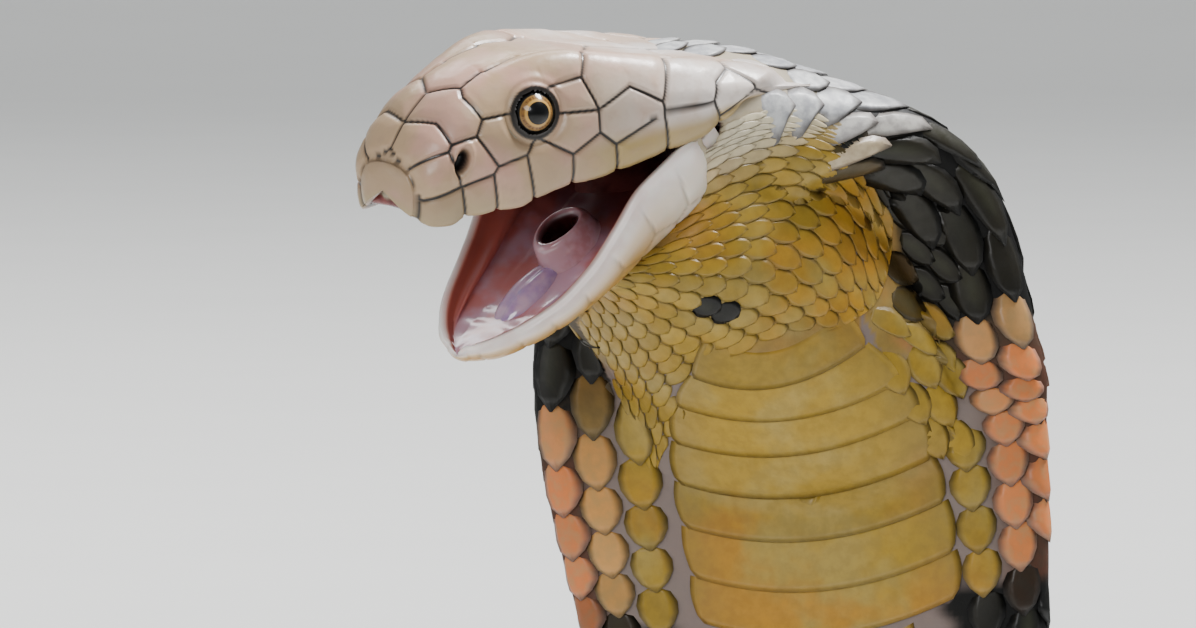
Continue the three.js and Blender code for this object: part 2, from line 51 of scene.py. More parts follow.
# The body is worked out in millimetres, in the frame of the part's source, and laid into the scene in metres.
headPlace = {"lip": (14, -165, 666.3), "yaw": 50, "noseDown": 10, "roll": 8}
head = {
    "width": [(0, 7.6), (0.6, 9.6), (2, 11.3), (4.5, 12.4), (8, 13), (14, 14.3), (20, 15.5), (27, 16.8), (34, 18.2),
              (43, 20), (52, 21.8), (60, 23), (68, 23.6), (90, 24.4)],
    "crown": [(0, 9.8), (0.6, 12), (2, 14), (4.5, 17), (8, 20), (12, 22.6), (17, 24.6), (22, 25.8), (30, 26.4),
              (38, 25.6), (48, 23.6), (58, 21.2), (68, 18.8), (80, 16.4), (90, 14)],
    "lip": [(0, 1), (0.6, 0), (2, -0.6), (5, -0.8), (9, 0.2), (14, 0.2), (20, 0.2), (29, 2.3), (40, 3.2), (52, 5.4),
            (62, 7), (68, 9.4), (90, 10)],
    "flatness": [(0, 0.7), (8, 0.75), (16, 0.92), (24, 0.95), (32, 0.8), (45, 0.5), (68, 0.5), (90, 0.6)],
    "browRise": [(15, 0), (21, 0.8), (28, 2.2), (36, 2.8), (44, 2.2), (56, 2), (68, 1.4), (84, 0)],
    "browShare": [(30, 0.25), (50, 0.3)],
    "browReach": 0.2,
    "palate": [(0, 0.4), (4, 1.6), (12, 3.6), (40, 4), (56, 3), (68, 2)],
    "square": 0.8,
    "lipTuck": 0.09,
    "end": 68,
}
jaw = {
    "place": {"back": 70, "height": 4.5, "drop": 33},
    "width": [(-12, 20.5), (0, 22.6), (12, 22.8), (22, 22.3), (33, 21.2), (43, 19), (50, 16.8), (56, 13.6), (61, 9.4),
              (64, 5.4), (65, 2.6)],
    "depth": [(-12, 15), (0, 14.5), (12, 13), (24, 11), (36, 9.2), (47, 7.6), (56, 6), (62, 4.4), (65, 2.4)],
    "rim": [(-12, 4), (0, 5.5), (12, 7), (22, 7.4), (32, 4.6), (41, 1.6), (50, 0.2), (65, 0)],
    "floor": [(-12, 0), (6, 1.5), (20, 3.6), (40, 4.2), (52, 3.4), (60, 1.6), (65, 0.4)],
    "lip": 2.6,
    "end": 65,
}
spineShape = {
    "start": (62, 6),
    "nape": {"from": (73, -116.4, 686.6), "heading": (0.766, 0.643), "radius": 30, "turns": (0, 18, 36, 54, 72, 88)},
    "reared": [(95, -96.5, 645), (93.8, -95.5, 633), (94, -95, 620), (97, -94.5, 600), (101, -94, 570), (105, -95, 530),
               (107, -98, 470), (107, -101, 400), (106, -102, 320), (105, -101, 240), (105, -98, 165)],
    "riseRadius": 80,
    "riseFoot": (105, -96, 99.5),
    "coil": {"x": 5, "y": 0, "radius": 100, "growth": 19.2, "from": 11, "to": 632, "step": 23, "wander": 6},
    "hoodBack": (0.17, 0.985, 0),
    "backTurns": ((6, 80), (600, 775)),
}
body = {
    "halfWidth": [(0, 23.2), (12, 24), (30, 28.5), (44, 35), (66, 46), (88, 52.6), (101, 52), (121, 50), (141, 47.2),
                  (175, 40), (215, 32.5), (260, 27.2), (320, 24.6), (450, 24.4), (800, 26.5), (1300, 27.8), (1800, 26.2),
                  (2150, 22.6), (2380, 17.6), (2600, 11.6), (2780, 6.6), (2900, 2.8), (2960, 1.1)],
    "back": [(0, 13.4), (6, 12.8), (20, 12), (44, 11.4), (88, 10), (141, 11), (200, 13.6), (300, 19), (450, 21),
             (800, 24), (1300, 25.4), (1800, 24), (2150, 20.6), (2380, 16), (2600, 10.8), (2780, 6.2), (2900, 2.7),
             (2960, 1.1)],
    "belly": [(0, 16.5), (12, 20), (28, 24), (44, 19), (66, 13.5), (88, 12), (141, 12.4), (200, 14), (300, 17),
              (450, 18.4), (800, 20.4), (1300, 21.4), (1800, 20.4), (2150, 17.6), (2380, 14), (2600, 9.8), (2780, 5.8),
              (2900, 2.6), (2960, 1.1)],
    "thinning": [(0, 0.6), (14, 0.75), (34, 1.15), (66, 1.5), (141, 1.45), (200, 1.15), (280, 0.95), (2960, 0.95)],
    "sweep": [(0, 0), (40, 2), (88, 6), (141, 5), (240, 0)],
    "flatness": 0.72,
    "press": 0.055,
}
throat = {
    "outer": [(50, -131, 650), (55, -129, 644), (62, -126, 638), (70, -121, 630), (80, -115, 620), (88, -110.5, 610),
              (94, -108, 600)],
    "inner": [(36, 0, -5), (22, 0, -4.6), (63, -124, 679), (75, -113, 681), (89, -101, 668), (92, -98, 642),
              (95, -97, 612)],
    "width": [16, 20.5, 24, 28, 34, 37, 34],
    "thinning": [0.8, 0.8, 0.85, 1, 1.2, 1.4, 1.5],
    "fullness": 0.8,
}
gape = [(69.5, 10), (56, 10.5), (20, 8), (-10, 4), (-10, -60), (15, -31), (63, 0)]
eye = {"back": 25.6, "side": 12.6, "height": 17.3, "radius": 5, "opening": 4.1}
view = {"target": (54.4, -110, 643.6), "elevation": 3, "distance": 2400, "lens": 361.2, "film": 36,
        "frame": (1196, 628)}


def along(stations, place):  # a curve through the stations that never overshoots them
    x, y = np.array(stations, float).T
    slope = np.diff(y) / np.diff(x)
    product = slope[:-1] * slope[1:]
    total = np.where(product > 0, slope[:-1] + slope[1:], 1)
    inner = np.where(product > 0, 2 * product / total, 0)
    tangent = np.concatenate([slope[:1], inner, slope[-1:]])
    p = np.clip(place, x[0], x[-1])
    i = np.clip(np.searchsorted(x, p, side="right") - 1, 0, len(x) - 2)
    h = x[i + 1] - x[i]
    t = (p - x[i]) / h
    rise = tangent[i] * h * t * (1 - t) ** 2 - tangent[i + 1] * h * t * t * (1 - t)
    return y[i] * (1 + 2 * t) * (1 - t) ** 2 + y[i + 1] * t * t * (3 - 2 * t) + rise


def ease(low, high, x):
    t = np.clip((np.asarray(x, float) - low) / (high - low), 0, 1)
    return t * t * (3 - 2 * t)


def power(x, exponent):
    return np.sign(x) * np.abs(x) ** exponent


def unit(v):
    return v / np.maximum(np.linalg.norm(v, axis=-1, keepdims=True), 1e-9)


def headAxes():
    yaw, pitch, roll = (headPlace[k] * degree for k in ("yaw", "noseDown", "roll"))
    forward = np.array([-math.sin(yaw) * math.cos(pitch), -math.cos(yaw) * math.cos(pitch), -math.sin(pitch)])
    level = np.array([math.cos(yaw), -math.sin(yaw), 0])
    upright = np.cross(forward, level)
    up = upright * math.cos(roll) + level * math.sin(roll)
    left = level * math.cos(roll) - upright * math.sin(roll)
    return forward, left, up


headForward, headLeft, headUp = headAxes()


def headPoint(back, side, height):
    back, side, height = np.broadcast_arrays(*(np.asarray(v, float) for v in (back, side, height)))
    return (np.array(headPlace["lip"], float) - back[..., None] * headForward + side[..., None] * headLeft
            + height[..., None] * headUp)


def jawPoint(ahead, side, height):
    drop = jaw["place"]["drop"] * degree
    ahead, height = np.asarray(ahead, float), np.asarray(height, float)
    back = jaw["place"]["back"] - ahead * math.cos(drop) - height * math.sin(drop)
    return headPoint(back, side, jaw["place"]["height"] - ahead * math.sin(drop) + height * math.cos(drop))


def intoHead(points):  # back, side and height of points in space
    d = points - np.array(headPlace["lip"], float)
    return -(d @ headForward), d @ headLeft, d @ headUp


def intoJaw(points):  # ahead, side and height
    back, side, height = intoHead(points)
    drop = jaw["place"]["drop"] * degree
    a, h = jaw["place"]["back"] - back, height - jaw["place"]["height"]
    return a * math.cos(drop) - h * math.sin(drop), side, a * math.sin(drop) + h * math.cos(drop)


def spinePoints():
    s = spineShape
    points = [headPoint(s["start"][0] + b, 0, s["start"][1]) for b in (0, 5, 9)]
    n = s["nape"]
    for turn in n["turns"]:
        forward, down = n["radius"] * math.sin(turn * degree), n["radius"] * (1 - math.cos(turn * degree))
        points.append((n["from"][0] + n["heading"][0] * forward, n["from"][1] + n["heading"][1] * forward,
                       n["from"][2] - down))
    points += s["reared"]
    x, y, z = s["riseFoot"]
    for turn in (0, 30, 60, 90):
        points.append((x, y + s["riseRadius"] * (1 - math.cos(turn * degree)),
                       z - s["riseRadius"] * math.sin(turn * degree)))
    c = s["coil"]
    for angle in range(c["from"], c["to"] + 1, c["step"]):
        a = angle * degree
        radius = c["radius"] + c["growth"] * a + c["wander"] * math.sin(1.7 * a) * float(ease(0.5, 3, a))
        points.append((c["x"] + radius * math.cos(a), c["y"] + radius * math.sin(a), z - s["riseRadius"]))
    return np.array([tuple(p) for p in points], float)


def spineTable():  # centre, up and left at every millimetre from the back of the head to the tail tip
    p = spinePoints()
    p = np.concatenate([p[:1], p[:1], p, p[-1:], p[-1:]])
    f = np.linspace(0, 1, 60, endpoint=False)[:, None, None]
    weights = [(1 - f) ** 3, 3 * f ** 3 - 6 * f ** 2 + 4, -3 * f ** 3 + 3 * f ** 2 + 3 * f + 1, f ** 3]
    spans = len(p) - 3
    curve = sum(w * p[k:k + spans][None] for k, w in enumerate(weights)) / 6
    curve = curve.transpose(1, 0, 2).reshape(-1, 3)
    curve = np.concatenate([curve, p[-1:]])
    run = np.concatenate([[0], np.cumsum(np.linalg.norm(np.diff(curve, axis=0), axis=1))])
    place = np.arange(0, run[-1], 1.0)
    centre = np.stack([np.interp(place, run, curve[:, k]) for k in range(3)], 1)
    tailward = unit(np.gradient(centre, axis=0))
    (low, high), (floorLow, floorHigh) = spineShape["backTurns"]
    onFloor = ease(floorLow, floorHigh, place)[:, None]
    level = along(body["belly"], place) * (1 - body["press"])
    lift = spineShape["riseFoot"][2] - spineShape["riseRadius"]
    centre[:, 2] += (level - lift) * onFloor[:, 0]
    hint = headUp + (np.array(spineShape["hoodBack"]) - headUp) * ease(low, high, place)[:, None]
    hint = hint + (np.array([0, 0, 1.0]) - hint) * onFloor
    up = unit(hint - tailward * np.sum(hint * tailward, 1, keepdims=True))
    return place, centre, up, np.cross(tailward, up)


spinePlace, spineCentre, spineUp, spineLeft = spineTable()
spineLength = spinePlace[-1]
low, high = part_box("eye_left")
shift = np.array((low + high) / 2) * 1000 - headPoint(eye["back"], eye["side"], eye["height"])


def bodySection(place, turn):  # side and height of the outline: turn 0 is the belly, 180 degrees the back
    w, back, belly = (along(body[k], place) for k in ("halfWidth", "back", "belly"))
    thin, sweep = along(body["thinning"], place), along(body["sweep"], place)
    side = w * power(np.sin(turn), 0.94)
    c = np.cos(turn)
    height = np.where(c > 0, -belly * np.abs(c) ** (thin * body["flatness"]), back * np.abs(c) ** thin)
    return side, height - sweep * (side / w) ** 2


def bodyPoint(place, turn):
    place, turn = np.broadcast_arrays(np.asarray(place, float), np.asarray(turn, float))
    side, height = bodySection(place, turn)
    p = np.clip(place, 0, spineLength)
    pick = lambda table: np.stack([np.interp(p, spinePlace, table[:, k]) for k in range(3)], -1)
    point = pick(spineCentre) + pick(spineLeft) * side[..., None] + pick(spineUp) * height[..., None]
    point[..., 2] = np.where(place > spineShape["backTurns"][1][0], np.maximum(point[..., 2], 0), point[..., 2])
    return point


def headSection(back, share):  # share 0 is the crown, 1 the lip, and over 1 the way in under the lip
    w, crown, lip = (along(head[k], back) for k in ("width", "crown", "lip"))
    s = np.abs(share)
    widest = lip + 0.4 * (crown - lip)
    turn = np.minimum(s, 1) * 150 * degree
    fromBrow = np.abs(s - along(head["browShare"], back))
    bump = along(head["browRise"], back) * (1 - ease(0, head["browReach"], fromBrow))
    upper = np.minimum(turn, math.pi / 2)
    topSide = w * np.sin(upper) ** head["square"]
    topHeight = widest + (crown - widest) * np.abs(np.cos(upper)) ** along(head["flatness"], back) + bump
    under = np.maximum(turn - math.pi / 2, 0) * 1.5
    lowSide = w * (1 - head["lipTuck"] * (1 - np.cos(under)))
    lowHeight = widest - (widest - lip) * np.sin(under)
    side = np.where(turn <= math.pi / 2, topSide, lowSide)
    height = np.where(turn <= math.pi / 2, topHeight, lowHeight)
    inward = np.maximum(s - 1, 0) / 0.12
    side = side * (1 - 0.16 * inward)
    height = height + 0.5 * inward - 0.45 * np.sin(np.pi * np.clip(inward, 0, 1))
    return side * np.sign(share), height


def headSkin(back, share):  # places before 0 round the snout's front off to a point
    back, share = np.broadcast_arrays(np.asarray(back, float), np.asarray(share, float))
    side, height = headSection(np.maximum(back, 0), share)
    front = np.minimum(back, 0)
    fold = np.sqrt(np.clip(1 - front ** 2, 0, 1))
    middle = 5.0
    return headPoint(np.where(back < 0, front * 1.1, back), side * fold, middle + (height - middle) * fold)


def jawSection(ahead, share):  # 0 under the chin, 1 the top of the lip, 2 the middle of the mouth's floor
    w, depth, rim, floor = (along(jaw[k], ahead) for k in ("width", "depth", "rim", "floor"))
    s = np.abs(share)
    lip = np.minimum(jaw["lip"], w * 0.4)
    turn = np.minimum(s, 1) * math.pi / 2
    side = w * np.sin(turn) ** 0.8
    height = rim - (depth + rim) * np.abs(np.cos(turn)) ** 0.85
    marks = np.array([0, 0.12, 0.3, 0.42, 0.62, 0.8, 1.0])
    sides = [w, w - lip * 0.35, w - lip * 0.95, w - lip * 1.25, (w - lip) * 0.82, (w - lip) * 0.5, 0 * w]
    heights = [rim, rim + 0.9, rim + 0.5, rim - 1.0, -floor + (rim + floor) * 0.3, -floor, -floor]
    t = np.clip(s - 1, 0, 1)
    inSide, inHeight = np.zeros_like(t), np.zeros_like(t)
    for k in range(len(marks) - 1):
        f = np.clip((t - marks[k]) / (marks[k + 1] - marks[k]), 0, 1)
        inside = (t >= marks[k]) & (t <= marks[k + 1] + 1e-9)
        f = f if k in (0, 5) else f * f * (3 - 2 * f) * 0.5 + f * 0.5
        inSide = np.where(inside, sides[k] + (sides[k + 1] - sides[k]) * f, inSide)
        inHeight = np.where(inside, heights[k] + (heights[k + 1] - heights[k]) * f, inHeight)
    side = np.where(s <= 1, side, inSide)
    height = np.where(s <= 1, height, inHeight)
    return side * np.sign(share), height


def curved(a, b, c, d, f):  # between b and c, on the curve that also goes through a and d
    return 0.5 * (2 * b + (c - a) * f + (2 * a - 5 * b + 4 * c - d) * f ** 2 + (3 * b - a - 3 * c + d) * f ** 3)


def catmull(points, share):  # a smooth curve through the points, at a share of the way
    p = np.array(points, float)
    p = np.concatenate([2 * p[:1] - p[1:2], p, 2 * p[-1:] - p[-2:-1]])
    x = np.asarray(share, float) * (len(p) - 3)
    i = np.clip(np.floor(x).astype(int), 0, len(p) - 4)
    return curved(p[i], p[i + 1], p[i + 2], p[i + 3], (x - i)[..., None])


throatInner = [tuple(jawPoint(*p)) if k < 2 else p for k, p in enumerate(throat["inner"])]


def throatPoint(share, turn):  # turn 0 is the front of the throat
    share, turn = np.broadcast_arrays(np.asarray(share, float), np.asarray(turn, float))
    outer, inner = catmull(throat["outer"], share), catmull(throatInner, share)
    centre = (outer + inner) / 2
    depth = inner - centre
    steps = np.linspace(0, 1, len(throat["width"]))
    width = along(list(zip(steps, throat["width"])), share)
    thin = along(list(zip(steps, throat["thinning"])), share)
    left = headLeft + (np.array([0.985, -0.17, 0]) - headLeft) * share[..., None]
    left = unit(left - depth * np.sum(left * depth, -1, keepdims=True) / np.sum(depth * depth, -1, keepdims=True))
    sink = 3.5 * ease(0.8, 1, share)[..., None] * np.array([0.17, 0.985, 0])  # the end of it dies into the hood
    return (centre + left * (width * power(np.sin(turn), throat["fullness"]))[..., None]
            - depth * power(np.cos(turn), thin)[..., None] + sink)


# Meshes are laid into the scene in metres.
def toScene(points):
    return (np.asarray(points, float) + shift) * 0.001


def addObject(mesh):
    mesh.shade_smooth()
    piece = bpy.data.objects.new(mesh.name, mesh)
    bpy.context.scene.collection.objects.link(piece)
    return piece


def meshFrom(bm, name):
    mesh = bpy.data.meshes.new(name)
    bm.to_mesh(mesh)
    bm.free()
    return mesh


def putMarks(mesh, values):  # under each name, one number for each point
    for key, value in values.items():
        layer = mesh.attributes.new(key, "FLOAT", "POINT")
        layer.data.foreach_set("value", np.asarray(value, np.float32).reshape(-1))


def sheetMesh(name, points, values=None, closed=False):
    rows, columns = points.shape[:2]
    bm = bmesh.new()
    bmesh.ops.create_grid(bm, x_segments=columns - 1, y_segments=rows - 1, size=1)
    mesh = meshFrom(bm, name)
    mesh.vertices.foreach_set("co", toScene(points).reshape(-1))
    putMarks(mesh, values or {})
    bm = bmesh.new()
    bm.from_mesh(mesh)
    if closed:
        bmesh.ops.remove_doubles(bm, verts=bm.verts, dist=2e-6)
        bmesh.ops.holes_fill(bm, edges=[e for e in bm.edges if e.is_boundary], sides=0)
        bmesh.ops.triangulate(bm, faces=[f for f in bm.faces if len(f.verts) > 4])
    bmesh.ops.recalc_face_normals(bm, faces=bm.faces)
    bm.to_mesh(mesh)
    bm.free()
    return mesh


def addTube(name, rings, values=None):  # rings of points, closed round and capped at both ends
    values = {k: np.concatenate([v, v[:, :1]], 1) for k, v in (values or {}).items()}
    return addObject(sheetMesh(name, np.concatenate([rings, rings[:, :1]], 1), values, closed=True))


def settled(piece, *modifiers):  # puts modifiers on, and keeps what they make
    for kind, settings in modifiers:
        modifier = piece.modifiers.new(kind.title(), kind)
        for key, value in settings.items():
            setattr(modifier, key, value)
    bpy.context.view_layer.update()
    mesh = bpy.data.meshes.new_from_object(piece.evaluated_get(bpy.context.evaluated_depsgraph_get()))
    old = piece.data
    piece.modifiers.clear()
    piece.data = mesh
    bpy.data.meshes.remove(old)
    return piece


def joined(name, pieces):
    bm = bmesh.new()
    for piece in pieces:
        bm.from_mesh(piece.data)
        bpy.data.objects.remove(piece)
    return addObject(meshFrom(bm, name))


def coordinates(mesh):
    co = np.empty(len(mesh.vertices) * 3, np.float32)
    mesh.vertices.foreach_get("co", co)
    return co.reshape(-1, 3).astype(float) * 1000 - shift


def ringTurns(count):
    return np.linspace(0, 2 * math.pi, count, endpoint=False)


def makeSkin():
    turns = ringTurns(120)[None]
    neck = addTube("neckPart", bodyPoint(np.arange(2, 320, 2.5)[:, None], turns))
    throatPart = addTube("throatPart", throatPoint(np.linspace(0, 1, 60)[:, None], turns))
    shares = np.concatenate([np.linspace(0, 2, 60, endpoint=False), np.linspace(-2, 0, 60, endpoint=False)])
    root = np.linspace(-5, 12, 14)[:, None]
    rootPart = addTube("rootPart", jawPoint(root, *jawSection(root, shares[None])))
    cutter = np.stack([headPoint(*np.array([(b, side, h) for b, h in gape]).T) for side in np.linspace(-40, 40, 5)])
    cutter = addTube("gapeCut", cutter)
    for piece in (neck, throatPart, rootPart):
        settled(piece, ("BOOLEAN", {"operation": "DIFFERENCE", "object": cutter, "solver": "EXACT"}))
    bpy.data.objects.remove(cutter)
    backs = np.linspace(0, head["end"], 70)[:, None]
    half = np.concatenate([np.linspace(0, 1, 40), [1.12]])
    sides = np.concatenate([half, -half[::-1][:-1]])
    side, height = headSection(backs, sides[None])
    outline = headPoint(backs, side * 0.995, height - 0.05)
    back = backs[:, 0]
    lip, palate = along(head["lip"], back), along(head["palate"], back)
    lipSide = along(head["width"], back) * (1 - head["lipTuck"])
    across = [(0.66, 0.7), (0.3, 1), (0, 1), (-0.3, 1), (-0.66, 0.7)]
    roof = np.stack([headPoint(back, lipSide * s, lip + r * palate) for s, r in across], 1)
    cranium = addTube("cranium", np.concatenate([outline[:, :len(half)], roof, outline[:, len(half):]], 1))
    aheads = np.linspace(6, jaw["end"], 60)[:, None]
    side, height = jawSection(aheads, shares[None])
    ahead = ease(6, 14, aheads)
    within = ease(0.8, 1.15, np.abs(shares[None])) * ahead
    jawPart = addTube("jawPart", jawPoint(aheads, side * (1 - 0.05 * ahead), height - 1.6 * within))
    skin = joined("skin", [neck, throatPart, rootPart, cranium, jawPart])
    settled(skin, ("REMESH", {"mode": "VOXEL", "voxel_size": 0.00105, "use_smooth_shade": True}),
            ("SMOOTH", {"factor": 0.5, "iterations": 7}))
    return skin


skin = makeSkin()
print("skin", len(skin.data.polygons))
skinTree = BVHTree.FromObject(skin, bpy.context.evaluated_depsgraph_get())

tilt = view["elevation"] * degree
viewLook, viewRight = np.array([0, math.cos(tilt), -math.sin(tilt)]), np.array([1.0, 0, 0])
viewUp = np.cross(viewRight, viewLook)
viewEye = np.array(view["target"]) - viewLook * view["distance"]
viewScale = view["frame"][0] * view["lens"] / view["film"]
viewMiddle = np.array(view["frame"]) / 2


def seenAt(points):  # where points stand in the picture
    d = points - viewEye
    return viewMiddle + viewScale * np.stack([d @ viewRight, -(d @ viewUp)], -1) / (d @ viewLook)[..., None]


def laidFrom(starts, directions):  # the skin's points and normals first met along the given lines
    shape = starts.shape
    begin, way = toScene(starts).reshape(-1, 3), np.broadcast_to(directions, shape).reshape(-1, 3)
    found, out, good = begin.copy(), -way.copy(), np.zeros(len(begin), bool)
    for i in range(len(begin)):
        place, normal, _, _ = skinTree.ray_cast(Vector(begin[i]), Vector(way[i]))
        if place is not None:
            found[i], out[i], good[i] = place, normal, True
    return found.reshape(shape) * 1000 - shift, unit(out.reshape(shape)), good.reshape(shape[:-1])


def laidInView(places):  # the same for places in the picture
    x, y = np.moveaxis((places - viewMiddle) / viewScale, -1, 0)[..., None]
    way = viewLook + x * viewRight - y * viewUp
    return laidFrom(np.broadcast_to(viewEye, way.shape), unit(way))


shields = {  # the middles of each one's area, as place and share of the way from crown to lip
    "frontal": [(15.5, 0), (24, 0), (33, 0), (42, 0)],
    "internasal": [(3.5, 0.2)],
    "prefrontal": [(9, 0.12), (9.8, 0.29)],
    "supraocular": [(17, 0.28), (24, 0.28), (33, 0.3)],
    "parietal": [(41, 0.4), (50, 0.34), (52, 0.14), (60, 0.14)],
    "occipital": [(60.5, 0.43), (66, 0.3), (73, 0.14)],
    "preocular": [(16.4, 0.49)],
    "upperPostocular": [(33, 0.44)],
    "lowerPostocular": [(32.4, 0.57)],
    "frontNasal": [(2.7, 0.53)],
    "rearNasal": [(10.2, 0.57)],
    "temporal": [(43.9, 0.59)],
    "labial1": [(4.4, 0.78)],
    "labial2": [(11.7, 0.8)],
    "labial3": [(18.4, 0.78)],
    "labial4": [(27.5, 0.78)],
    "labial5": [(37, 0.8)],
    "labial6": [(47, 0.8)],
    "labial7": [(59.8, 0.77)],
    "nuchalTop": [(82.5, 0.12)],
    "nuchalUpper": [(75.5, 0.36)],
    "nuchalSide": [(70.5, 0.58)],
    "nuchalLow": [(72, 0.8)],
}
nostril = {"back": 7.8, "side": 12.4, "height": 10.9, "long": 1.7, "high": 2.9, "deep": 2.6}
headPlates = {"rise": 0.55, "groove": 0.24, "slope": 0.75, "rows": 300, "columns": 251, "over": 0.22}
jawSeeds = {  # ahead and share
    "mental": [(66, 0)],
    "chinFront": [(53, 0.22), (46, 0.2)],
    "chinRear": [(37, 0.2), (30, 0.2)],
    "low1": [(60.5, 0.62)],
    "low2": [(55.5, 0.74)],
    "low3": [(48.5, 0.76)],
    "low4": [(40, 0.78)],
    "low5": [(30.5, 0.8)],
    "low6": [(20.5, 0.8)],
    "low7": [(11, 0.8)],
    "under1": [(44, 0.47)],
    "under2": [(34, 0.5)],
    "under3": [(24, 0.5)],
    "under4": [(14, 0.5)],
    "under5": [(19, 0.2)],
}


def plateMiddles(seeds, surface, single):
    places, owners = [], []
    owner = 0
    for name, middles in seeds.items():
        for sign in (1,) if name in single else (1, -1):
            for a, share in middles:
                places.append(surface(np.float64(a), np.float64(share * sign)))
                owners.append(owner)
            owner += 1
    return np.array(places), np.array(owners)


def seams(points, places, owners):  # distance to the nearest seam between plates, and whose plate it is
    flat = points.reshape(-1, 3)
    gaps = np.linalg.norm(flat[:, None] - places[None], axis=2)
    first = gaps.argmin(1)
    own = owners[first]
    d1 = gaps[np.arange(len(flat)), first]
    seam = np.full(len(flat), 1e9)
    for k in range(len(places)):
        between = np.maximum(np.linalg.norm(places[first] - places[k], axis=1), 1e-6)
        distance = (gaps[:, k] ** 2 - d1 ** 2) / (2 * between)
        seam = np.where(owners[k] == own, seam, np.minimum(seam, distance))
    return seam.reshape(points.shape[:2]), own.reshape(points.shape[:2])


def sheetNormals(points, middle):
    a = np.gradient(points, axis=0)
    b = np.gradient(points, axis=1)
    n = unit(np.cross(a, b))
    return n * np.sign(np.sum(n * (points - middle), -1, keepdims=True) + 1e-9)


def eyeAt(side):  # the eye's middle and the direction it looks in
    gaze = unit(headLeft * 0.95 * side + headForward * 0.27 + headUp * 0.16)
    return headPoint(eye["back"], eye["side"] * side, eye["height"]), gaze


def makeHeadPlates():
    look = headPlates
    fronts = -np.sqrt(1 - np.linspace(0.01, 1, 46) ** 2)[:-1]
    backs = np.concatenate([fronts, np.linspace(0, 90, look["rows"])])
    half = np.linspace(0, 1, look["columns"] // 2 + 1)
    half = np.concatenate([half, [1.03, 1.06, 1.09, 1.12]])
    share = np.concatenate([-half[::-1][:-1], half])
    b, s = np.meshgrid(backs, share, indexing="ij")
    points = headSkin(b, s)
    lip, crown = along(head["lip"], b), along(head["crown"], b)
    spot = headPoint(np.maximum(b, 0), 0, lip + 0.4 * (crown - lip))
    normals = sheetNormals(points, spot)
    normals[backs < -0.97] = headForward
    places, owners = plateMiddles(shields, headSkin, ("frontal",))
    snout = headPoint([-1, -1, -1], [0, 3.6, -3.6], [5.2, 4, 4])
    places = np.concatenate([places, snout])
    owners = np.concatenate([owners, [900, 900, 900]])
    seam, own = seams(points, places, owners)
    raised = ease(look["groove"], look["slope"], seam) * look["rise"] * 0.8
    raised += ease(0.3, 3.2, seam) * look["rise"] * 0.45
    rear = 86 - 15 * ease(0.25, 0.75, np.abs(s))
    sink = ease(-3, 3, b - rear)
    height = look["over"] + raised * (1 - sink) - 1.6 * sink
    under = ease(1.0, 1.1, np.abs(s))
    height = height * (1 - under) - 0.1 * under
    # painted shade in the nostrils: near black, strongest at the bottom of each pit
    dark = np.zeros_like(seam)
    for side in (1, -1):
        hole = headPoint(nostril["back"], nostril["side"] * side, nostril["height"])
        d = points - hole
        up = d @ headUp
        oval = np.hypot((d @ headForward + 0.35 * up) / nostril["long"], up / nostril["high"])
        near = np.linalg.norm(d, axis=2) < 6
        rim = 0.35 * (1 - ease(0, 0.4, np.abs(oval - 1.15)))
        height = np.where(near, height - nostril["deep"] * (1 - ease(0.25, 1.0, oval)) + rim, height)
        dark = np.maximum(dark, np.where(near, 1 - ease(0.55, 1.05, oval), 0))
    points = points + normals * height[..., None]
    variety = dice.random(1000)
    # where the sheet folds in under the lip the seam mark is 1 too: painted shade under the lip's edge, near black like
    # the seams
    values = {"seam": 1 - ease(look["groove"] * 0.7, look["groove"] + 0.24, seam) * (1 - under), "own": variety[own],
              "back": b, "share": np.abs(s), "nostrilShade": dark, "under": under}
    mesh = sheetMesh("headPlates", points, values)
    bm = bmesh.new()
    bm.from_mesh(mesh)
    gone = []
    for side in (1, -1):
        middle, gaze = eyeAt(side)
        centre, axis = Vector(toScene(middle)), Vector(gaze)
        hole, ball = eye["opening"] * 0.001, (eye["radius"] + 0.3) * 0.001
        for v in bm.verts:
            d = v.co - centre
            depth = d.dot(axis)
            if depth < 0 or d.length > 0.012:
                continue
            r = (d - axis * depth).length
            if r < hole:
                gone.append(v)
                continue
            near = float(1 - ease(0.0054, 0.0082, r))
            onBall = math.sqrt(max(0.0, ball ** 2 - min(r, ball) ** 2))
            lid = 0.00045 * math.exp(-((r - 0.0049) / 0.0006) ** 2) - 0.0003 * math.exp(-((r - 0.0062) / 0.0004) ** 2)
            v.co += axis * ((max(onBall, 0.0026) + 0.00012 - depth) * near + lid)
    bmesh.ops.delete(bm, geom=gone, context="VERTS")
    bmesh.ops.recalc_face_normals(bm, faces=bm.faces)
    bm.to_mesh(mesh)
    bm.free()
    return addObject(mesh)


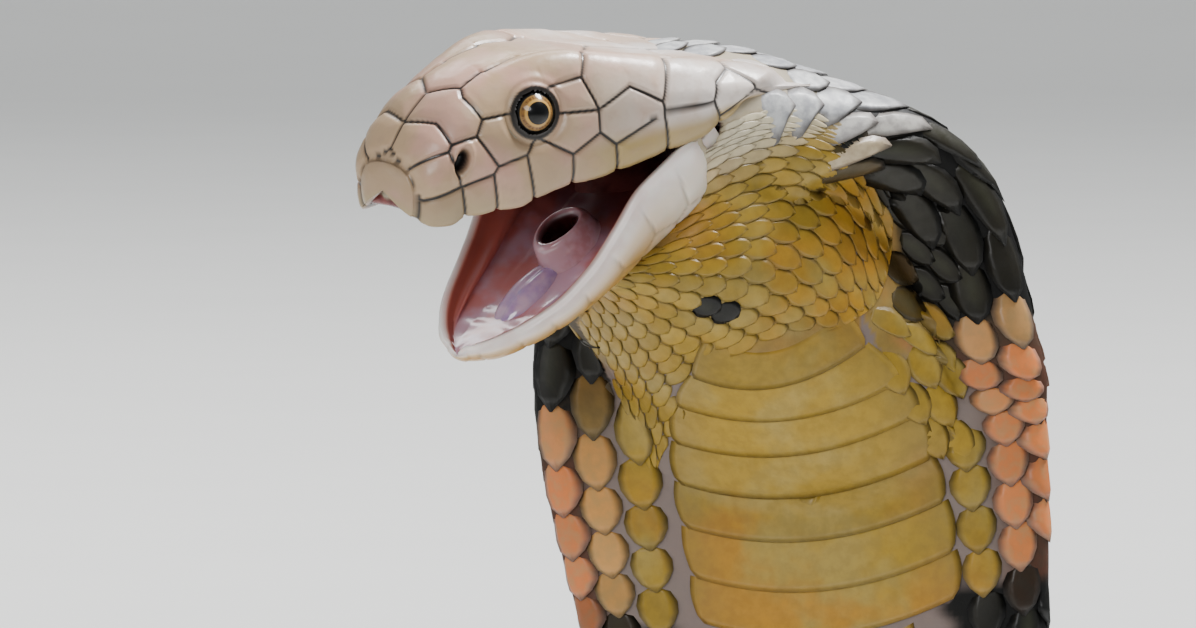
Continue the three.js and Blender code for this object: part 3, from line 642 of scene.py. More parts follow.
def makeJawPlates():
    tipSteps = 65 + np.array([0.35, 0.6, 0.75, 0.8])
    aheads = np.concatenate([np.linspace(2, 60, 110), np.linspace(60.4, 65, 16), tipSteps])
    shares = np.concatenate([np.linspace(0, 1, 40), 1 + np.linspace(0.03, 1, 46)])
    shares = np.concatenate([-shares[::-1][:-1], shares])
    a, s = np.meshgrid(aheads, shares, indexing="ij")
    side, height = jawSection(np.minimum(a, 65), s)
    tip = np.sqrt(np.clip(1 - ((a - 65) / 0.8) ** 2, 0, 1)) * (a > 65) + (a <= 65)
    points = jawPoint(a, side * tip, -0.8 + (height + 0.8) * tip)
    outward = np.stack([np.zeros_like(a), side, height + 1], -1)
    centre = jawPoint(a, 0 * a, 0 * a - 1)
    u = np.gradient(points, axis=0)
    v = np.gradient(points, axis=1)
    normals = unit(np.cross(u, v))
    middle = normals[60, len(shares) // 2]
    jawDown = jawPoint(0, 0, -1) - jawPoint(0, 0, 0)
    if middle @ jawDown < 0:
        normals = -normals
    places, owners = plateMiddles(jawSeeds, lambda p, q: jawPoint(p, *jawSection(np.minimum(p, 65), q)), ("mental",))
    seam, _ = seams(points, places, owners)
    t = np.abs(s) - 1
    outer = 1 - ease(-0.06, 0.02, t)
    raised = (ease(0.1, 0.6, seam) * 0.22 + ease(0.3, 3, seam) * 0.12 + 0.25) * outer
    gum = 1.1 * np.exp(-((t - 0.56) / 0.05) ** 2) * ease(8, 16, a) * (1 - ease(54, 60, a))
    ripple = 0.12 * np.sin(a * 0.8 + 3 * np.sin(0.23 * a) + 5 * t) * np.exp(-((t - 0.8) / 0.14) ** 2)
    fade = ease(4, 12, a)
    amount = (0.2 + raised) * fade - 0.9 * (1 - fade) + np.where(t > 0, gum + ripple, 0)
    points = points + normals * amount[..., None]
    dice.random(1000)  # keeps the later draws as they are
    values = {"seam": (1 - ease(0.1, 0.42, seam)) * outer, "ahead": a, "inside": ease(0.1, 0.34, t), "share": np.abs(s),
              "lipBand": ease(0.86, 1.0, np.abs(s)) * (1 - ease(0.16, 0.4, t)), "gum": np.where(t > 0, gum, 0)}
    return addObject(sheetMesh("jawPlates", points, values))


headPiece = makeHeadPlates()
jawPiece = makeJawPlates()
print("head plates", len(headPiece.data.polygons), "jaw plates", len(jawPiece.data.polygons))

scaleLook = {
    "across": 5, "along": 6,
    "outline": [(0, 0.36), (0.22, 0.8), (0.46, 1), (0.68, 0.86), (0.86, 0.5), (1, 0.06)],
    "camber": 0.16,
    "lift": 0.6,
    "root": -0.2,
}
pitches = [(0, 5.4), (24, 6.2), (46, 8.3), (235, 8.8), (500, 10.4), (1300, 10.6), (2000, 9.6), (2380, 7.4), (2700, 5.4),
           (2960, 4)]
ventralHalf = [(0, 12), (46, 20), (100, 26), (150, 27), (235, 24), (800, 24), (1300, 25), (1800, 23.5), (2150, 20.5),
               (2380, 15.5), (2600, 10), (2780, 5.6), (2900, 2.4), (2960, 1)]
tailStart = 2330  # behind it the scutes under the tail are in pairs


def rowsAt(place):  # rows on each side, beside the one down the middle of the back
    for end, rows in ((300, 9), (420, 8), (2150, 7), (2340, 6), (2500, 5), (2640, 4), (2780, 3)):
        if place < end:
            return rows
    return 2


def surfaceFrame(surface, a, b, stepA, stepB):
    point = surface(a, b)
    da = surface(a + stepA, b) - surface(a - stepA, b)
    db = surface(a, b + stepB) - surface(a, b - stepB)
    return point, unit(np.cross(da, db))


def shrunk(points):  # onto the skin, with the skin's own normals
    flat = toScene(points).reshape(-1, 3)
    found, out, gap = np.empty_like(flat), np.empty_like(flat), np.empty(len(flat))
    for i, p in enumerate(flat):
        found[i], out[i], _, gap[i] = skinTree.find_nearest(Vector(p))
    shape = points.shape
    return found.reshape(shape) * 1000 - shift, unit(out.reshape(shape)), gap.reshape(shape[:-1]) * 1000


class ScaleSet:  # many small plates in one mesh, each with its marks
    def __init__(self, name):
        self.name = name
        self.corners, self.counts, self.verts, self.uvs, self.middles = [], [], [], [], []
        self.marks = {}
        self.total = 0

    def feet(self):  # a point under each of its plates
        return np.concatenate(self.middles)

    def add(self, grid, centre, keep, marks, soft, patch):  # grid: n plates of rows by columns; centre: under each
        marks = dict(marks, soft=np.full(len(grid), soft), chance=dice.random(len(grid)))
        marks = {key: value[keep] for key, value in marks.items()}
        grid, centre, patch = grid[keep], centre[keep], patch[keep]
        n, rows, columns = grid.shape[:3]
        size = rows * columns + 1
        self.middles.append(centre)
        block = np.concatenate([grid.reshape(n, -1, 3), centre[:, None]], 1)
        index = np.arange(rows * columns).reshape(rows, columns)
        quads = np.stack([index[:-1, :-1], index[:-1, 1:], index[1:, 1:], index[1:, :-1]], -1).reshape(-1, 4)
        edge = np.concatenate([index[0], index[1:, -1], index[-1, -2::-1], index[-2:0:-1, 0]])
        fans = np.stack([np.roll(edge, -1), edge, np.full(len(edge), size - 1)], -1)
        base = (self.total + np.arange(n) * size)[:, None, None]
        for faces in (quads, fans):
            self.corners.append((base + faces).reshape(-1))
            self.counts.append(np.full(n * len(faces), faces.shape[1]))
        self.verts.append(block.reshape(-1, 3))
        self.total += n * size
        x = np.tile(np.linspace(-1, 1, columns), rows)
        y = np.repeat(np.linspace(-1, 1, rows), columns)
        spread = np.stack([np.append(x, 0), np.append(y, 0)], 1) * 0.0015
        self.uvs.append((patch[:, None] + spread[None]).reshape(-1, 2))
        rim = np.append(np.maximum(np.abs(x), np.maximum(y, -y * 0.4)), 1)
        self.marks.setdefault("rim", []).append(np.tile(rim, n))
        for key, value in marks.items():
            self.marks.setdefault(key, []).append(np.repeat(value, size))

    def build(self):
        mesh = bpy.data.meshes.new(self.name)
        verts = np.concatenate(self.verts)
        verts[:, 2] = np.maximum(verts[:, 2], 0.05)
        corners, counts = np.concatenate(self.corners), np.concatenate(self.counts)
        mesh.vertices.add(len(verts))
        mesh.vertices.foreach_set("co", toScene(verts).reshape(-1))
        mesh.loops.add(len(corners))
        mesh.loops.foreach_set("vertex_index", corners.astype(np.int32))
        mesh.polygons.add(len(counts))
        mesh.polygons.foreach_set("loop_start", np.concatenate([[0], np.cumsum(counts)[:-1]]).astype(np.int32))
        mesh.update(calc_edges=True)
        putMarks(mesh, {key: np.concatenate(value) for key, value in self.marks.items()})
        layer = mesh.uv_layers.new(name="OFBake")
        layer.data.foreach_set("uv", np.concatenate(self.uvs)[corners].astype(np.float32).reshape(-1))
        mesh.validate()
        print(self.name, int((counts - 2).sum()), "triangles")
        return addObject(mesh)


darkBands = [(134, 205), (240, 310), (342, 404)]  # behind the hood's first one, in millimetres along the spine
laterBands = {"from": 425, "every": 62}
ochreReach = {  # how far the ochre of the front reaches out on the animal's left and on its right
    "left": [(44, 11), (60, 15), (76, 24), (90, 32), (128, 31), (140, 26), (220, 24)],
    "right": [(44, 20), (80, 34), (128, 31), (140, 26), (220, 24)],
}


def bodyMarks(place, turn, side):  # how dark, ochre, salmon and grey the skin is, by its place on the body
    s, side = np.broadcast_arrays(np.asarray(place, float), np.asarray(side, float))
    front = np.cos(turn) > 0
    ragged = 0.5 * np.sin(s * 0.9 + 4 * turn) + 0.5 * np.sin(s * 0.37 - 7 * turn)
    shifted = s + 2.5 * ragged
    dark = ease(34, 44, shifted) * (1 - ease(80, 87, shifted + 0.25 * side))
    for a, b in darkBands:
        dark = np.maximum(dark, ease(a - 3, a + 3, shifted) * (1 - ease(b - 4, b + 4, shifted)))
    wave = np.abs(((shifted - laterBands["from"]) / laterBands["every"] % 1) - 0.5) * 2
    dark = np.where(shifted > laterBands["from"], ease(0.24, 0.42, 1 - wave), dark)
    reach = np.where(side > 0, along(ochreReach["left"], s), along(ochreReach["right"], s))
    inner = (1 - ease(reach - 2, reach + 3, np.abs(side) + 2 * ragged)) * front
    fade = 1 - ease(215, 330, s)
    beside = front * ease(84, 96, s) * (1 - ease(36, 45, np.abs(side)))
    ochre = np.clip(np.maximum(inner, beside) * ease(16, 34, s) * fade, 0, 1)
    salmon = ease(80, 92, shifted + 0.25 * side) * (1 - ease(134, 142, shifted)) * (1 - ochre)
    salmon = np.maximum(salmon, 0.35 * (1 - dark) * (s > 215))
    grey = (1 - ease(52, 76, shifted)) * ease(0.8, 1.7, np.abs(turn))
    dark = dark * (1 - inner * fade)
    belly = np.clip(1 - ease(0.8, 1.05, np.abs(side) / along(ventralHalf, s)), 0, 1) * front * ease(230, 360, s)
    return {"dark": dark, "ochre": ochre, "salmon": np.clip(salmon, 0, 1), "grey": grey, "belly": belly}


def unwrapBody(place, turn):
    share = (np.asarray(turn) / (2 * math.pi)) % 1
    return np.stack([0.02 + 0.96 * np.asarray(place) / spineLength, 0.02 + 0.76 * share], -1)


def torn(points, limit):  # plates whose neighbouring points lie further apart than the limit
    return np.any([np.linalg.norm(np.diff(points, axis=k), axis=-1).max((1, 2)) > limit for k in (1, 2)], 0)


def plateGrid(surface, steps, a0, b0, length, width, look, fit, bow=0.0):
    columns, rows = look["across"], look["along"]
    x, y = np.linspace(-1, 1, columns), np.linspace(0, 1, rows)
    profile = along(look["outline"], y)
    d = (surface(a0, b0 + steps[1]) - surface(a0, b0 - steps[1])) / (2 * steps[1])
    rate = np.maximum(np.linalg.norm(d, axis=-1), 1e-3)  # millimetres across for each unit of turn
    a = a0[:, None, None] + (length[:, None, None] * y[None, :, None] + bow * (1 - x ** 2)[None, None, :]) * steps[2]
    b = b0[:, None, None] + (x * profile[:, None] * width[:, None, None] / 2) / rate[:, None, None]
    a, b = np.broadcast_arrays(a, b)
    points, normals = surfaceFrame(surface, a, b, steps[0], steps[1])
    gap = np.zeros(points.shape[:3])
    if fit == "swell":
        up = spineUp[np.clip(a0.astype(int), 0, len(spineUp) - 1)][:, None, None]
        points, normals, good = laidFrom(points - 45 * up, np.broadcast_to(up, points.shape))
        gap = np.where(good & ~torn(points, 4)[:, None, None], 0, 99)
    elif fit:
        flat, out, gap = shrunk(points)
        lost = (torn(flat, 9) & (width < 20))[:, None, None]  # a scale that is torn, but not a broad scute
        gap = np.where(lost | (np.sum(out * normals, -1) < 0.3), 99, gap)
        points, normals = flat, out
    h = (look["root"] + (look["lift"] - look["root"]) * np.minimum(1, y * 1.25) - 0.22 * ease(0.75, 1, y))[:, None]
    h = h + look["camber"] * (1 - x ** 2)[None] * np.sin(math.pi * np.clip(y * 0.9 + 0.1, 0, 1))[:, None] ** 0.6
    h = h * np.minimum(1, width / 6)[:, None, None]
    foot, normal, gap = (v[:, rows // 2, columns // 2] for v in (points, normals, gap))
    return points + normals * h[..., None], foot - normal * 0.15, gap, foot, normal


plateTrees = [BVHTree.FromObject(piece, bpy.context.evaluated_depsgraph_get()) for piece in (headPiece, jawPiece)]
bodySteps = (0.5, 0.01, 1)


def underPlates(points, normals):  # true where the head's or the jaw's own plates cover the skin
    covered = np.zeros(len(points), bool)
    for i, (p, n) in enumerate(zip(toScene(points), normals)):
        for tree in plateTrees:
            place, _, _, distance = tree.find_nearest(Vector(p))
            covered[i] |= distance < 0.0015 and (place - Vector(p)).dot(Vector(n)) > 0.00005
    return covered


def inMouth(points):
    back, side, height = intoHead(points)
    ahead, jawSide, jawHeight = intoJaw(points)
    return (jawHeight > 6.5) & (height < along(head["lip"], np.clip(back, 0, 90)) - 0.5) & (ahead > -2) & (back < 76)


def bodyScales():
    sets = {}
    place = 4.0
    columns = {"place": [], "turn": [], "length": [], "width": []}
    while place < spineLength - 6:
        pitch = float(along(pitches, place))
        rows = rowsAt(place)
        turns = np.linspace(0, math.pi, 121)
        side, height = bodySection(np.full(121, place), turns)
        run = np.concatenate([[0], np.cumsum(np.hypot(np.diff(side), np.diff(height)))])
        start = float(along(ventralHalf, place))
        if place < 46:
            start = 4
        hood = float(ease(40, 70, place) * (1 - ease(210, 300, place)))
        wider = 5 * float(ease(80, 100, place) * (1 - ease(150, 190, place)))
        for sign in (1, -1):
            begin = start + (wider if sign > 0 else 0)
            spacing = (run[-1] - begin) / (rows + 0.5)
            for j in range(rows + (sign > 0)):
                turn = float(np.interp(begin + (j + 0.5 + 0.1 * hood) * spacing, run, turns)) if j < rows else math.pi
                offset = pitch / 2 if (rows - j) % 2 else 0
                columns["place"].append(place + offset - pitch * 0.3)
                columns["turn"].append(turn * sign)
                columns["length"].append(pitch * (1.42 - 0.14 * hood))
                columns["width"].append(spacing * (1.2 - 0.12 * hood))
        place += pitch
    data = {k: np.array(v) for k, v in columns.items()}
    data["length"] *= 1 + 0.06 * (dice.random(len(data["place"])) - 0.5)
    limits = [0, 290, 1000, 1700, 2380, 4000]
    names = ["scalesHood", "scalesTrunk", "scalesCoilInner", "scalesCoilOuter", "scalesTail"]
    for name, low, high in zip(names, limits[:-1], limits[1:]):
        chosen = (data["place"] >= low) & (data["place"] < high)
        part = {k: v[chosen] for k, v in data.items()}
        front = name == "scalesHood"
        laid = plateGrid(bodyPoint, bodySteps, *part.values(), scaleLook, front)
        grid, centre, gap, foot, normal = laid
        keep = np.ones(len(grid), bool)
        if front:
            lost = np.flatnonzero((gap > 1.2) & (np.cos(part["turn"]) > 0.05) & (part["place"] > 30))
            again = plateGrid(bodyPoint, bodySteps, *(v[lost] for v in part.values()), scaleLook, "swell")
            for old, new in zip(laid, again):
                old[lost] = new
            keep = (gap < 1.4) & ~underPlates(foot, normal) & ~inMouth(foot) & ~frontScales(foot, normal)
        middle = part["place"] + part["length"] / 2
        side, _ = bodySection(middle, part["turn"])
        sets[name] = ScaleSet(name)
        marks = bodyMarks(middle, part["turn"], side)
        sets[name].add(grid, centre, keep, marks, 0.0, unwrapBody(middle, part["turn"]))
    return sets


def scutePlaces(start, end):
    places = []
    while start < end:
        places.append(start)
        start += float(along(pitches, start))
    return np.array(places)


scuteLook = {"outline": [(0, 0.97), (0.5, 1), (0.9, 0.97), (1, 0.93)], "camber": 0.04, "lift": 0.5, "root": -0.12,
             "across": 25, "along": 7}
hoodScutes = {  # in the picture, from the topmost: middle across, half width, height, tilt and sag of the rear edge
    "centre": [(0, 774), (1, 779), (2, 789), (3, 797), (4, 805), (5, 815), (6, 824), (7, 829), (8, 832)],
    "half": [(0, 70), (1, 92), (2, 117), (3, 128), (4, 133), (5, 136), (6, 136), (7, 134), (8, 130)],
    "height": [(0, 322), (1, 358), (2, 391), (3, 426), (4, 468), (5, 512), (6, 562), (7, 607), (8, 650)],
    "tilt": [(0, -0.2), (1, -0.18), (2, -0.11), (3, -0.115), (4, -0.1), (8, -0.1)],
    "sag": 29, "count": 7, "after": 141.5,
}
throatFan = [  # in the picture: rows of scales from the jaw to the hood, the topmost first
    [(664, 158), (704, 131), (750, 108), (798, 103), (850, 118)],
    [(668, 178), (713, 146), (768, 125), (826, 130), (876, 160)],
    [(672, 198), (722, 160), (786, 142), (850, 158), (893, 212)],
    [(655, 236), (722, 204), (792, 188), (850, 218), (882, 290)],
    [(632, 264), (700, 254), (765, 252), (822, 286), (850, 322)],
    [(612, 284), (665, 304), (712, 322), (750, 336), (780, 352)],
    [(594, 302), (622, 335), (645, 368), (662, 400), (676, 436)],
    [(577, 322), (598, 358), (618, 396), (637, 438), (654, 484)],
]
sideFan = [  # in the picture: the rows between the throat and the hood's dark edge
    [(878, 196), (922, 216), (968, 244)],
    [(886, 236), (924, 258), (964, 284)],
    [(878, 282), (917, 304), (958, 332)],
    [(866, 322), (912, 346), (955, 374)],
]
looseScales = [(893, 372), (924, 366), (952, 376), (914, 402), (940, 404), (932, 436), (958, 440)]  # below them
fanLook = {"outline": scaleLook["outline"], "camber": 0.06, "lift": 0.24, "root": -0.08}


def hoodScutePlace(row, across):
    look = hoodScutes
    centre, half, height, tilt = (along(look[k], row) for k in ("centre", "half", "height", "tilt"))
    return np.stack(np.broadcast_arrays(centre + across * half,
                                        height + tilt * across * half + look["sag"] * (1 - across ** 2)), -1)


def fanPlace(run, row, fan=throatFan):
    run, row = np.broadcast_arrays(np.asarray(run, float), np.asarray(row, float))
    rows = np.stack([catmull([(*p, 0) for p in line], np.clip(run, 0, 1)) for line in fan], -2)[..., :2]
    x = np.clip(row, 0, 1) * (len(fan) - 1)
    i = np.clip(np.floor(x).astype(int), 0, len(fan) - 2)
    near = [np.clip(i + k, 0, len(fan) - 1)[..., None, None] + np.zeros((1, 2), int) for k in (-1, 0, 1, 2)]
    return curved(*(np.take_along_axis(rows, k, -2)[..., 0, :] for k in near), (x - i)[..., None])


def frontScales(points, normals):  # true where the throat's fan or the hood's broad scutes cover the skin
    place = seenAt(points)
    facing = (normals @ viewLook < 0.25) & (points[:, 2] > 560)
    down = np.arange(1.0, 8)
    ring = np.concatenate([fanPlace([0, 0.25, 0.5, 0.75, 0.97], 0.01), hoodScutePlace(down, 0.9),
                           hoodScutePlace(down[:0:-1], -0.9), fanPlace([1, 0.75, 0.5, 0.25, 0], 1)])
    beside = np.array(sideFan, float)
    reach = beside[:, 1] * 0.3 + beside[:, 2] * 0.7
    edge = np.array([beside[0, 0] - [12, 0], beside[0, 0], *reach, (952, 392), (962, 440), (930, 450), beside[-1, 0]])
    return (insideRing(place, ring) | insideRing(place, edge)) & facing


def insideRing(place, ring):
    inside = np.zeros(len(place), bool)
    for (x0, y0), (x1, y1) in zip(ring, np.roll(ring, -1, 0)):
        crosses = (y0 > place[:, 1]) != (y1 > place[:, 1])
        at = x0 + (place[:, 1] - y0) / (y1 - y0 + 1e-9) * (x1 - x0)
        inside ^= crosses & (place[:, 0] < at)
    return inside


def pressedOn(places, look, across, lengthways):  # plates on the skin at given places in the picture
    points, normals, good = laidInView(places)
    y = lengthways[:, None]
    h = look["root"] + (look["lift"] - look["root"]) * np.minimum(1, y * 1.2) - 0.2 * ease(0.8, 1, y)
    h = h + look["camber"] * (1 - across[None] ** 2)
    grid = points + normals * h[None, ..., None]
    middle = places.shape[1] // 2, places.shape[2] // 2
    foot, normal = points[:, middle[0], middle[1]], normals[:, middle[0], middle[1]]
    span = np.linalg.norm(np.diff(points, axis=2), axis=-1).max((1, 2)) < 6
    return grid, foot - normal * 0.15, good.all((1, 2)) & span & ~underPlates(foot, normal), foot


paleEdge = [(560, 310), (600, 268), (640, 214), (700, 166), (760, 138), (820, 118), (880, 100)]  # in the picture


def darkEdge(place):  # how far over the dark edge of the hood a place in the picture is
    edge = along([(150, 838), (190, 872), (225, 893), (300, 903), (335, 960), (400, 1010)], place[:, 1])
    return ease(-6, 8, place[:, 0] - edge) * (place[:, 1] < 380)


def frontMarks(foot):
    n, place = len(foot), seenAt(foot)
    spot = np.exp(-(((place[:, 0] - 714) * 0.8 + (place[:, 1] - 303) * 0.6) / 26) ** 4
                  - (((place[:, 1] - 303) * 0.8 - (place[:, 0] - 714) * 0.6) / 13) ** 4)
    pale = 1 - ease(-12, 34, place[:, 1] - along(paleEdge, place[:, 0]))
    beyond = darkEdge(place)
    return {"dark": np.maximum(spot > 0.45, beyond), "salmon": np.zeros(n), "belly": 0.9 * pale, "grey": np.zeros(n),
            "ochre": 1 - 0.9 * pale}


def ventralScutes():
    scutes = ScaleSet("scutesBelly")
    u, y = np.linspace(-1, 1, 35), np.linspace(0, 1, 9)
    tips = np.arange(1.0, hoodScutes["count"] + 1)
    rows = tips[:, None, None] - 1.22 + 1.22 * y[None, :, None]
    profile = along(scuteLook["outline"], y)[None, :, None]
    places = hoodScutePlace(rows, u[None, None] * profile)
    grid, centre, keep, foot = pressedOn(places, scuteLook, u, y)
    scutes.add(grid, centre, keep, frontMarks(foot), 1.0, np.stack([0.3 + 0.02 * tips, np.full(len(tips), 0.9)], -1))
    for low, high, fit in ((hoodScutes["after"] - 1.5, 290, True), (290, tailStart, False)):
        places = scutePlaces(low, high)
        pitch = along(pitches, places)
        zero = np.zeros(len(places))
        grid, centre, gap, _, _ = plateGrid(bodyPoint, bodySteps, places - 1, zero, pitch * 1.2,
                                            along(ventralHalf, places) * 2, scuteLook, fit, bow=4.5 if fit else 1.5)
        scutes.add(grid, centre, gap < 1.6, bodyMarks(places, zero, zero), 1.0, unwrapBody(places, zero))
    places = scutePlaces(tailStart, spineLength - 8)
    pitch, half = along(pitches, places), along(ventralHalf, places)
    for sign in (1, -1):
        turn = sign * np.arcsin(np.clip(half * 0.5 / along(body["halfWidth"], places), 0, 1))
        grid, centre, gap, _, _ = plateGrid(bodyPoint, bodySteps, places - 1 + (sign > 0) * pitch * 0.5, turn,
                                            pitch * 1.3, half * 1.05, dict(scuteLook, across=6), False)
        scutes.add(grid, centre, gap < 1, bodyMarks(places, turn, half * 0.3), 1.0, unwrapBody(places, turn))
    return scutes


def throatScales():
    scales = ScaleSet("scalesThroat")
    u, y = np.linspace(-1, 1, 7), np.linspace(0, 1, 8)
    rows = np.array([0.45, 1, 2, 3, 4, 5, 6, 7])
    scutesRing = np.concatenate([hoodScutePlace(rows, 0.97), hoodScutePlace(rows[::-1], -0.97)])
    for fan, count, steps, first, lift in ((throatFan, 23, 10, 0.05, 0), (sideFan, 5, 3, 0, 0.2)):
        look = dict(fanLook, lift=fanLook["lift"] + lift)
        k, j = np.divmod(np.arange(count * (steps + 1)), steps + 1)
        run, row = (j - 0.5 * (k % 2)) / steps, first + (1 - first) * (k + 0.5) / count
        profile = along(look["outline"], y)
        runs = run[:, None, None] + (y * 1.42 / steps)[None, :, None] + 0 * u
        rows = row[:, None, None] + (u[None, :] * profile[:, None])[None] * 0.56 / count
        places = fanPlace(runs, rows, fan)
        grid, centre, keep, foot = pressedOn(places, look, u, y)
        keep &= (runs[:, 0, 0] > -0.08) & (runs[:, -1, 0] < 1.16) & ~insideRing(seenAt(foot), scutesRing)
        patch = np.stack([0.02 + 0.25 * run + 0.3 * (lift > 0), 0.86 + 0.1 * row], -1)
        scales.add(grid, centre, keep, frontMarks(foot), 1.0 - 3 * lift, patch)
    loose, tilt = np.array(looseScales, float), math.radians(26)
    across, down = np.array([math.cos(tilt), -math.sin(tilt)]), np.array([math.sin(tilt), math.cos(tilt)])
    profile = along(scaleLook["outline"], y)
    places = (loose[:, None, None] + 17 * (u[None, :] * profile[:, None])[None, ..., None] * across
              + 25 * (2 * y - 1)[None, :, None, None] * down)
    grid, centre, keep, foot = pressedOn(places, dict(scaleLook, lift=0.5), u, y)
    patch = np.stack([np.full(len(loose), 0.9), 0.86 + 0.012 * np.arange(len(loose))], -1)
    scales.add(grid, centre, keep, frontMarks(foot), 0.4, patch)
    return scales


def fillThroat(scales, others):  # scales where the photo hides the throat, wherever no other scale stands
    length, spacing = 86.0, 4.6
    share, turn = np.meshgrid(np.arange(0.02, 0.99, 0.05), np.radians(np.arange(-172, 173, 8.0)), indexing="ij")
    share = share + 0.025 * (np.arange(share.shape[1]) % 2)[None]
    share, turn = share.reshape(-1), turn.reshape(-1)
    n = len(share)
    grid, centre, gap, foot, normal = plateGrid(throatPoint, (0.005, 0.01, 1 / length), share, turn, np.full(n, 6.6),
                                                np.full(n, spacing), scaleLook, True)
    taken = KDTree(sum(len(o) for o in others))
    for k, p in enumerate(np.concatenate(others)):
        taken.insert(Vector(p), k)
    taken.balance()
    far = np.array([taken.find(Vector(p))[2] > 3.4 for p in foot])
    ahead, _, jawHeight = intoJaw(foot)
    hidden = (normal @ viewLook > 0.05) & ~((ahead > -4) & (jawHeight > 2))
    keep = (gap < 1.2) & far & hidden & ~underPlates(foot, normal) & ~inMouth(foot)
    lower = ease(10, 26, (spineCentre[10] - foot) @ headUp)
    marks = {"dark": np.zeros(n), "salmon": np.zeros(n), "belly": 0.5 * (1 - lower), "grey": (1 - lower) * 0.7,
             "ochre": lower}
    patch = np.stack([0.6 + 0.2 * share, 0.9 + 0.06 * turn / math.pi], -1)
    scales.add(grid, centre, keep, marks, 0.5, patch)


def makeBodySkin():
    places = np.concatenate([np.arange(300, spineLength - 1, 6), [spineLength - 0.2]])
    places, turns = np.meshgrid(places, ringTurns(48), indexing="ij")
    side, _ = bodySection(places, turns)
    return addTube("bodySkin", bodyPoint(places, turns), bodyMarks(places, turns, side))


def markSkin():  # the skin's own markings, read from the nearest place on the spine, and painted shade where the skin sinks behind the nostrils and eyes
    points = coordinates(skin.data)
    hidden = np.zeros(len(points))
    for sign in (1, -1):
        for spot, reach, depth in ((nostril, 5.0, 3.6), (eye, 8.0, 2.4)):
            middle = headPoint(spot["back"], spot["side"] * sign, spot["height"])
            near = 1 - ease(reach * 0.55, reach, np.linalg.norm(points - middle, axis=1))
            points -= (headLeft * sign * depth) * near[:, None]
            hidden = np.maximum(hidden, near)
    skin.data.vertices.foreach_set("co", toScene(points).astype(np.float32).reshape(-1))
    d = np.linalg.norm(points[:, None] - spineCentre[None, :340:4], axis=2)
    place = d.argmin(1) * 4.0
    k = place.astype(int)
    out = points - spineCentre[k]
    place = np.clip(place + np.sum(out * np.cross(spineUp[k], spineLeft[k]), 1), 0, 330)
    side, up = np.sum(out * spineLeft[k], 1), np.sum(out * spineUp[k], 1)
    turn = np.arctan2(side / along(body["halfWidth"], place), -up / 14)
    marks = bodyMarks(place, turn, side)
    ahead, jawSide, jawHeight = intoJaw(points)
    back, headSide, headHeight = intoHead(points)
    floor, width = along(jaw["floor"], ahead), along(jaw["width"], ahead)
    mouth = (np.abs(jawSide) < width - 1.5) & (jawHeight > -floor - 1.5) & (jawHeight < 40) & (ahead > -12) & (ahead < 66)
    roofTop = along(head["lip"], back) + along(head["palate"], back) + 1.5
    mouth &= (headHeight < np.where(back < 69, roofTop, 12)) & (back < 80)
    mouth = (mouth & (np.abs(headSide) < along(head["width"], back) - 0.8)).astype(float)
    normals = np.empty(len(points) * 3, np.float32)
    skin.data.vertices.foreach_get("normal", normals)
    seen, spot = frontScales(points, normals.reshape(-1, 3)).astype(float) * (1 - mouth), seenAt(points)
    beyond = darkEdge(spot) * seen
    marks["ochre"] = np.maximum(marks["ochre"], seen) * (1 - beyond)
    marks["grey"] = marks["grey"] * (1 - seen)
    marks["dark"] = np.maximum(marks["dark"] * (1 - seen), beyond)
    corner = (1 - ease(-12, 30, spot[:, 1] - along(paleEdge, spot[:, 0]))) * (1 - mouth)
    corner *= (1 - ease(84, 96, back)) * (headSide > -6)
    marks["pale"] = corner * (1 - hidden)
    # the skin sunk behind the nostrils and eyes is painted near black: painted shade
    marks["dark"] = np.maximum(marks["dark"] * (1 - corner), ease(0, 0.3, hidden))
    marks["throat"] = seen * (1 - ease(345, 380, spot[:, 1]))
    marks["inside"] = mouth
    # painted shade at the back of the mouth, where it runs down into the throat
    marks["deep"] = ease(46, 66, back) * mouth
    putMarks(skin.data, marks)
    skin.data.shade_smooth()


sets = bodyScales()
sets["scutesBelly"] = ventralScutes()
sets["scalesThroat"] = throatScales()
fillThroat(sets["scalesThroat"], [sets["scalesHood"].feet(), sets["scalesThroat"].feet()])
coats = [s.build() for s in sets.values()]
bodySkin = makeBodySkin()
markSkin()
print("scales laid")


def makeEye(name, side):
    middle, gaze = eyeAt(side)
    bm = bmesh.new()
    bmesh.ops.create_uvsphere(bm, u_segments=72, v_segments=60, radius=eye["radius"] * 0.001)
    turn = Vector((0, 0, 1)).rotation_difference(Vector(gaze)).to_matrix()
    bmesh.ops.rotate(bm, verts=bm.verts, cent=(0, 0, 0), matrix=turn)
    axis = Vector(gaze)
    for v in bm.verts:  # the clear scale over the eye stands a little proud
        facing = max(0.0, v.co.normalized().dot(axis))
        v.co += axis * 0.0005 * facing ** 6
    bmesh.ops.translate(bm, verts=bm.verts, vec=Vector(toScene(middle)))
    mesh = meshFrom(bm, name)
    out = unit(coordinates(mesh) - middle)
    angle = np.degrees(np.arccos(np.clip(out @ gaze, -1, 1)))
    across = unit(np.cross(gaze, headUp))
    around = np.arctan2(out @ np.cross(gaze, across), out @ across)
    putMarks(mesh, {"gaze": angle, "aroundSin": np.sin(around), "aroundCos": np.cos(around)})
    return addObject(mesh)


glottisLook = {"ahead": 32, "length": 6.4, "width": 5,
               "profile": [(1.34, -5.4), (1.2, -3.2), (1.12, -1.2), (1.06, 0.4), (0.98, 1.3), (0.86, 1.65), (0.73, 1.3),
                           (0.66, 0.3), (0.6, -1.5), (0.56, -3.6)]}
sheathLook = {"floor": -4.4, "flat": 0.72, "slit": 0.5,
              "rings": [(36, 0.6), (38, 2.2), (41, 3.6), (46, 4.4), (51, 3.9), (54.5, 2.3), (56.5, 0.6)]}


